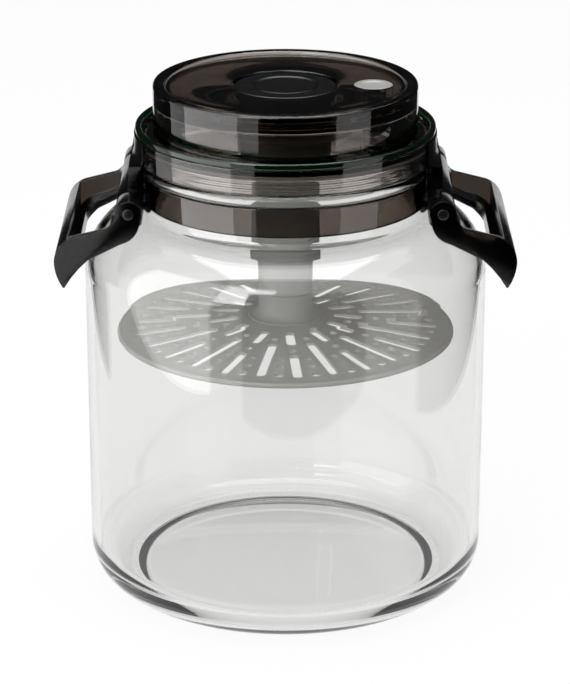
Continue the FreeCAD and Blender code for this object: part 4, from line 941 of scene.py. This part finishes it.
class KEEPER_OT_stem(Operator):
    """Make the fixed sleeve, its ribbed grip collar, the sliding tube and the hub"""
    bl_idname = "keeper.stem"
    bl_label = "Stem"

    def execute(self, context):
        s = context.scene.keeper.stem
        bore = s.tube + s.gap
        sleeve = bore + s.sleeve_wall
        low, high = levels("stem_sleeve")
        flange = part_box("stem_sleeve")[1].x
        under = high - s.flange
        outline = rounded([(bore, low, SMALL), (sleeve, low, SMALL), (sleeve, under, 0.001),
                           (flange, under, LARGE), (flange, high, SMALL), (bore, high, SMALL)])
        finish("sleeve_grey", turned("sleeve_grey", outline, steps=MEDIUM), "grey", "lid", "stem_sleeve")
        low, high = levels("grip_collar")
        corners = [(bore, low, BROKEN), (sleeve, low, SMALL)]
        steps = 2 * s.ribs + 1
        for k in range(1, steps, 2):
            for out, part in ((0, k), (1, k), (1, k + 1), (0, k + 1)):
                corners.append((sleeve - out * s.rib_depth, low + (high - low) * part / steps, CREASE))
        outline = rounded(corners + [(sleeve, high, BROKEN), (bore, high, BROKEN)])
        finish("grip_ribbed", turned("grip_ribbed", outline, steps=MEDIUM), "grey", "lid", "grip_collar")
        low, high = levels("stem_tube")
        inner = s.tube - s.tube_wall
        finish("tube_grey", plain_ring("tube_grey", inner, s.tube, low, high, steps=MEDIUM), "grey",
               "strainer", "stem_tube")
        # The hub flares to its foot, and its spigot goes up into the tube
        base, top = levels("strainer_hub")
        spigot = inner - s.tube_wall
        flared, edge, floor = s.tube + s.flare, base + s.foot, base + s.floor
        screw = context.scene.keeper.screws.shank
        outline = rounded([
            (screw, base), (flared, base, BROKEN), (flared, edge, SMALL), (s.tube, edge, s.flare - PLAIN),
            (s.tube, low, BROKEN), (inner, low), (inner, top, SMALL), (spigot, top, SMALL), (spigot, floor),
            (screw, floor)])
        finish("hub_grey", turned("hub_grey", outline, steps=MEDIUM), "grey", "strainer", "strainer_hub")
        return {"FINISHED"}


class KEEPER_OT_strainer(Operator):
    """Mould the dished strainer plate and cut its slots and holes"""
    bl_idname = "keeper.strainer"
    bl_label = "Strainer Plate"

    def execute(self, context):
        s = context.scene.keeper.strainer
        top = levels("strainer_hub")[0]
        flat = top - s.thickness
        low = flat - s.dish
        rim_start = s.radius - 2 * s.rim
        middle = low + s.thickness / 2
        outline = [Vector(p) for p in ((s.bore, flat), (s.flat, flat), (rim_start, low))]
        centre = Vector((s.radius - s.rim, middle))
        arcs = 8
        for i in range(arcs + 1):
            angle = math.pi * (i / arcs - 0.5)
            outline.append(centre + s.rim * Vector((math.cos(angle), math.sin(angle))))
        outline += [Vector(p) for p in ((rim_start, low + s.thickness), (s.flat, top), (s.bore, top))]
        blank = turned("plate_blank", outline, steps=FINEST)
        # The tree's inputs are the sizes from the slot's width on, under their own labels
        keys = list(StrainerSizes.__annotations__)
        keys = keys[keys.index("slot"):]
        inputs = {s.bl_rna.properties[key].name: getattr(s, key) for key in keys}
        inputs["Level"] = low - CUTTER / 2
        plate = grown("plate_slotted", perforation_tree(inputs), inputs, blank)
        finish("plate_slotted", plate, "grey", "strainer", "strainer_plate")
        return {"FINISHED"}


class KEEPER_OT_screws(Operator):
    """Drive the screws of the drum, the pump and the stem sleeve"""
    bl_idname = "keeper.screws"
    bl_label = "Screws"

    def execute(self, context):
        s = context.scene.keeper.screws
        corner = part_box("drum_screws")[1]
        drum_circle = math.hypot(corner.x - s.head, corner.y - s.head)
        tree = None
        # Node, how many, circle, first screw in degrees, and whether the heads are above or below
        for node, how_many, circle, start, way in (
                ("drum_screws", 4, drum_circle, 45, -1.0), ("flange_screws", 3, s.flange_circle, 90, 1.0),
                ("sleeve_screws", 3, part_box("sleeve_screws")[1].x - s.head, 30, -1.0)):
            low, high = levels(node)
            level = high - s.head_height if way > 0 else low + s.head_height
            inputs = {"Screws": how_many, "Start": math.radians(start), "Circle": circle, "Level": level,
                      "Up": way, "Head": s.head, "Head height": s.head_height, "Recess": s.recess,
                      "Shank": s.shank, "Length": high - low - s.head_height}
            tree = tree or screw_tree(inputs)
            finish(node + "_steel", grown(node + "_steel", tree, inputs), "steel", "lid", node)
        return {"FINISHED"}


class KEEPER_OT_finishes(Operator):
    """Give each piece that keeps its own shape its finish"""
    bl_idname = "keeper.finishes"
    bl_label = "Finishes"

    def execute(self, context):
        slots = {part["node"]: part["material_slot"] for part in frame["record"]["subparts"]}
        for name, piece in frame["nodes"].items():
            piece.data.materials.clear()
            piece.data.materials.append(material_for(slots[name]))
        return {"FINISHED"}


class KEEPER_OT_stage(Operator):
    """Set the floor, the lamps, the surroundings and the camera"""
    bl_idname = "keeper.stage"
    bl_label = "Stage"

    def seen(self, tree):
        """1 where the camera, a shiny piece or a clear one looks, and 0 for the light that falls."""
        path = add_node(tree, "ShaderNodeLightPath").outputs
        share = path["Is Camera Ray"]
        for ray in ("Is Glossy Ray", "Is Transmission Ray"):
            share = add_node(tree, "ShaderNodeMath", {0: share, 1: path[ray]}, operation="MAXIMUM").outputs[0]
        return share

    def surroundings(self, ambient):
        world = bpy.data.worlds.new("surroundings")
        world.use_nodes = True
        tree = world.node_tree
        tree.nodes.clear()
        strength = add_node(tree, "ShaderNodeMix", {"Factor": self.seen(tree), "A": ambient, "B": 1.0})
        light = add_node(tree, "ShaderNodeBackground", {"Strength": strength.outputs[0]})
        add_node(tree, "ShaderNodeOutputWorld", {"Surface": light.outputs[0]})
        return world

    def sheet(self, name, corners):
        """A flat four-cornered piece of the stage with a bare material; returns both."""
        mesh = bpy.data.meshes.new(name)
        mesh.from_pydata(corners, [], [(0, 1, 2, 3)])
        item = bpy.data.objects.new(name, mesh)
        bpy.context.scene.collection.objects.link(item)
        coat = bpy.data.materials.new(name)
        coat.use_nodes = True
        coat.node_tree.nodes.clear()
        mesh.materials.append(coat)
        return item, coat

    def floor(self):
        """White paper that shows as white and still takes the shadow."""
        half = 3.0
        corners = [(x * half, y * half, 0) for x, y in ((-1, -1), (1, -1), (1, 1), (-1, 1))]
        paper = self.sheet("floor", corners)[1]
        paper.name = "white_paper"
        tree = paper.node_tree
        white_share = 0.93
        share = calculated(tree, "MULTIPLY", self.seen(tree), white_share)
        dull = add_node(tree, "ShaderNodeBsdfDiffuse", {"Color": linear("#f2f2f2")})
        glow = add_node(tree, "ShaderNodeEmission", {"Strength": 1.0})
        both = add_node(tree, "ShaderNodeMixShader", {0: share, 1: dull.outputs[0], 2: glow.outputs[0]})
        add_node(tree, "ShaderNodeOutputMaterial", {"Surface": both.outputs[0]})

    def lamp(self, name, place, size, watts):
        """A square lamp that faces the jar."""
        data = bpy.data.lights.new(name, "AREA")
        data.shape = "RECTANGLE"
        data.size = data.size_y = size
        data.energy = watts
        item = bpy.data.objects.new(name, data)
        item.location = place
        aim = Vector((0, 0, 0.1))
        item.rotation_euler = (aim - Vector(place)).to_track_quat("-Z", "Y").to_euler()
        bpy.context.scene.collection.objects.link(item)

    def card(self, name, first, last, low, high, strength):
        """An upright panel from first to last in plan that only shiny and clear pieces show."""
        corners = [(*first, low), (*last, low), (*last, high), (*first, high)]
        item, coat = self.sheet(name, corners)
        item.visible_camera = item.visible_diffuse = item.visible_shadow = False
        tree = coat.node_tree
        glow = add_node(tree, "ShaderNodeEmission", {"Strength": strength})
        clear = add_node(tree, "ShaderNodeBsdfTransparent")
        path = add_node(tree, "ShaderNodeLightPath")
        lit = add_node(tree, "ShaderNodeMixShader", {
            0: path.outputs["Diffuse Depth"], 1: glow.outputs[0], 2: clear.outputs[0]})
        add_node(tree, "ShaderNodeOutputMaterial", {"Surface": lit.outputs[0]})

    def execute(self, context):
        s = context.scene.keeper.stage
        context.scene.view_settings.view_transform = "Standard"
        context.scene.world = self.surroundings(s.ambient)
        self.floor()
        self.lamp("softbox_front", (-0.5, -0.9, 0.9), 0.7, 9)
        self.lamp("overhead", (0.0, 0.1, 1.3), 1.0, 10)
        # A white softbox in front on the left, and dark flags that draw the edges of the clear pieces
        self.card("softbox_card", (-0.52, 0.02), (-0.24, -0.30), 0.001, 0.55, s.softbox)
        self.card("front_flag", (-0.125, -0.32), (0.26, -0.30), 0.001, 0.40, 0.0)
        self.card("left_flag", (-0.30, 0.10), (-0.30, 0.70), 0.0, 0.45, 0.02)
        self.card("right_flag", (0.30, -0.10), (0.30, 0.70), 0.0, 0.45, 0.02)
        self.card("rear_flag", (-0.9, 0.95), (0.9, 0.95), 0.25, 1.3, 0.02)

        lens = bpy.data.cameras.new("camera")
        lens.lens = s.focal
        lens.sensor_width = 36
        lens.shift_x = -0.5 / 684  # Half a pixel of the photograph's longer side
        camera = bpy.data.objects.new("camera", lens)
        camera.location = (0, -s.distance, s.height)
        camera.rotation_euler = (math.pi / 2 - s.pitch, 0, 0)
        context.scene.collection.objects.link(camera)
        context.scene.camera = camera
        return {"FINISHED"}


class KeeperSettings(PropertyGroup):
    glass: PointerProperty(type=GlassSizes)
    lid: PointerProperty(type=LidSizes)
    clip: PointerProperty(type=ClipSizes)
    knob: PointerProperty(type=KnobSizes)
    stem: PointerProperty(type=StemSizes)
    strainer: PointerProperty(type=StrainerSizes)
    screws: PointerProperty(type=ScrewSizes)
    finishes: PointerProperty(type=Finishes)
    stage: PointerProperty(type=StageSettings)


OPERATORS = (KEEPER_OT_finishes, KEEPER_OT_jar, KEEPER_OT_collar, KEEPER_OT_lid, KEEPER_OT_knob,
             KEEPER_OT_clips, KEEPER_OT_stem, KEEPER_OT_strainer, KEEPER_OT_screws, KEEPER_OT_stage)


class KEEPER_PT_panel(Panel):
    """Lists the keeper's pieces and their sizes"""
    bl_label = "Pickle Keeper"
    bl_space_type = "VIEW_3D"
    bl_region_type = "UI"
    bl_category = "Keeper"

    def draw(self, context):
        for operator in OPERATORS:
            self.layout.operator(operator.bl_idname)
        settings = context.scene.keeper
        for name in KeeperSettings.__annotations__:
            box = self.layout.box()
            group = getattr(settings, name)
            for key in type(group).__annotations__:
                box.prop(group, key)


CLASSES = (GlassSizes, LidSizes, KnobSizes, ClipSizes, StemSizes, StrainerSizes, ScrewSizes, Finishes,
           StageSettings, KeeperSettings, *OPERATORS, KEEPER_PT_panel)


def register():
    for item in CLASSES:
        bpy.utils.register_class(item)
    bpy.types.Scene.keeper = PointerProperty(type=KeeperSettings)


def unregister():
    del bpy.types.Scene.keeper
    for item in reversed(CLASSES):
        bpy.utils.unregister_class(item)


def main():
    register()
    for operator in OPERATORS:
        group, name = operator.bl_idname.split(".")
        getattr(getattr(bpy.ops, group), name)()


if __name__ == "__main__":
    main()
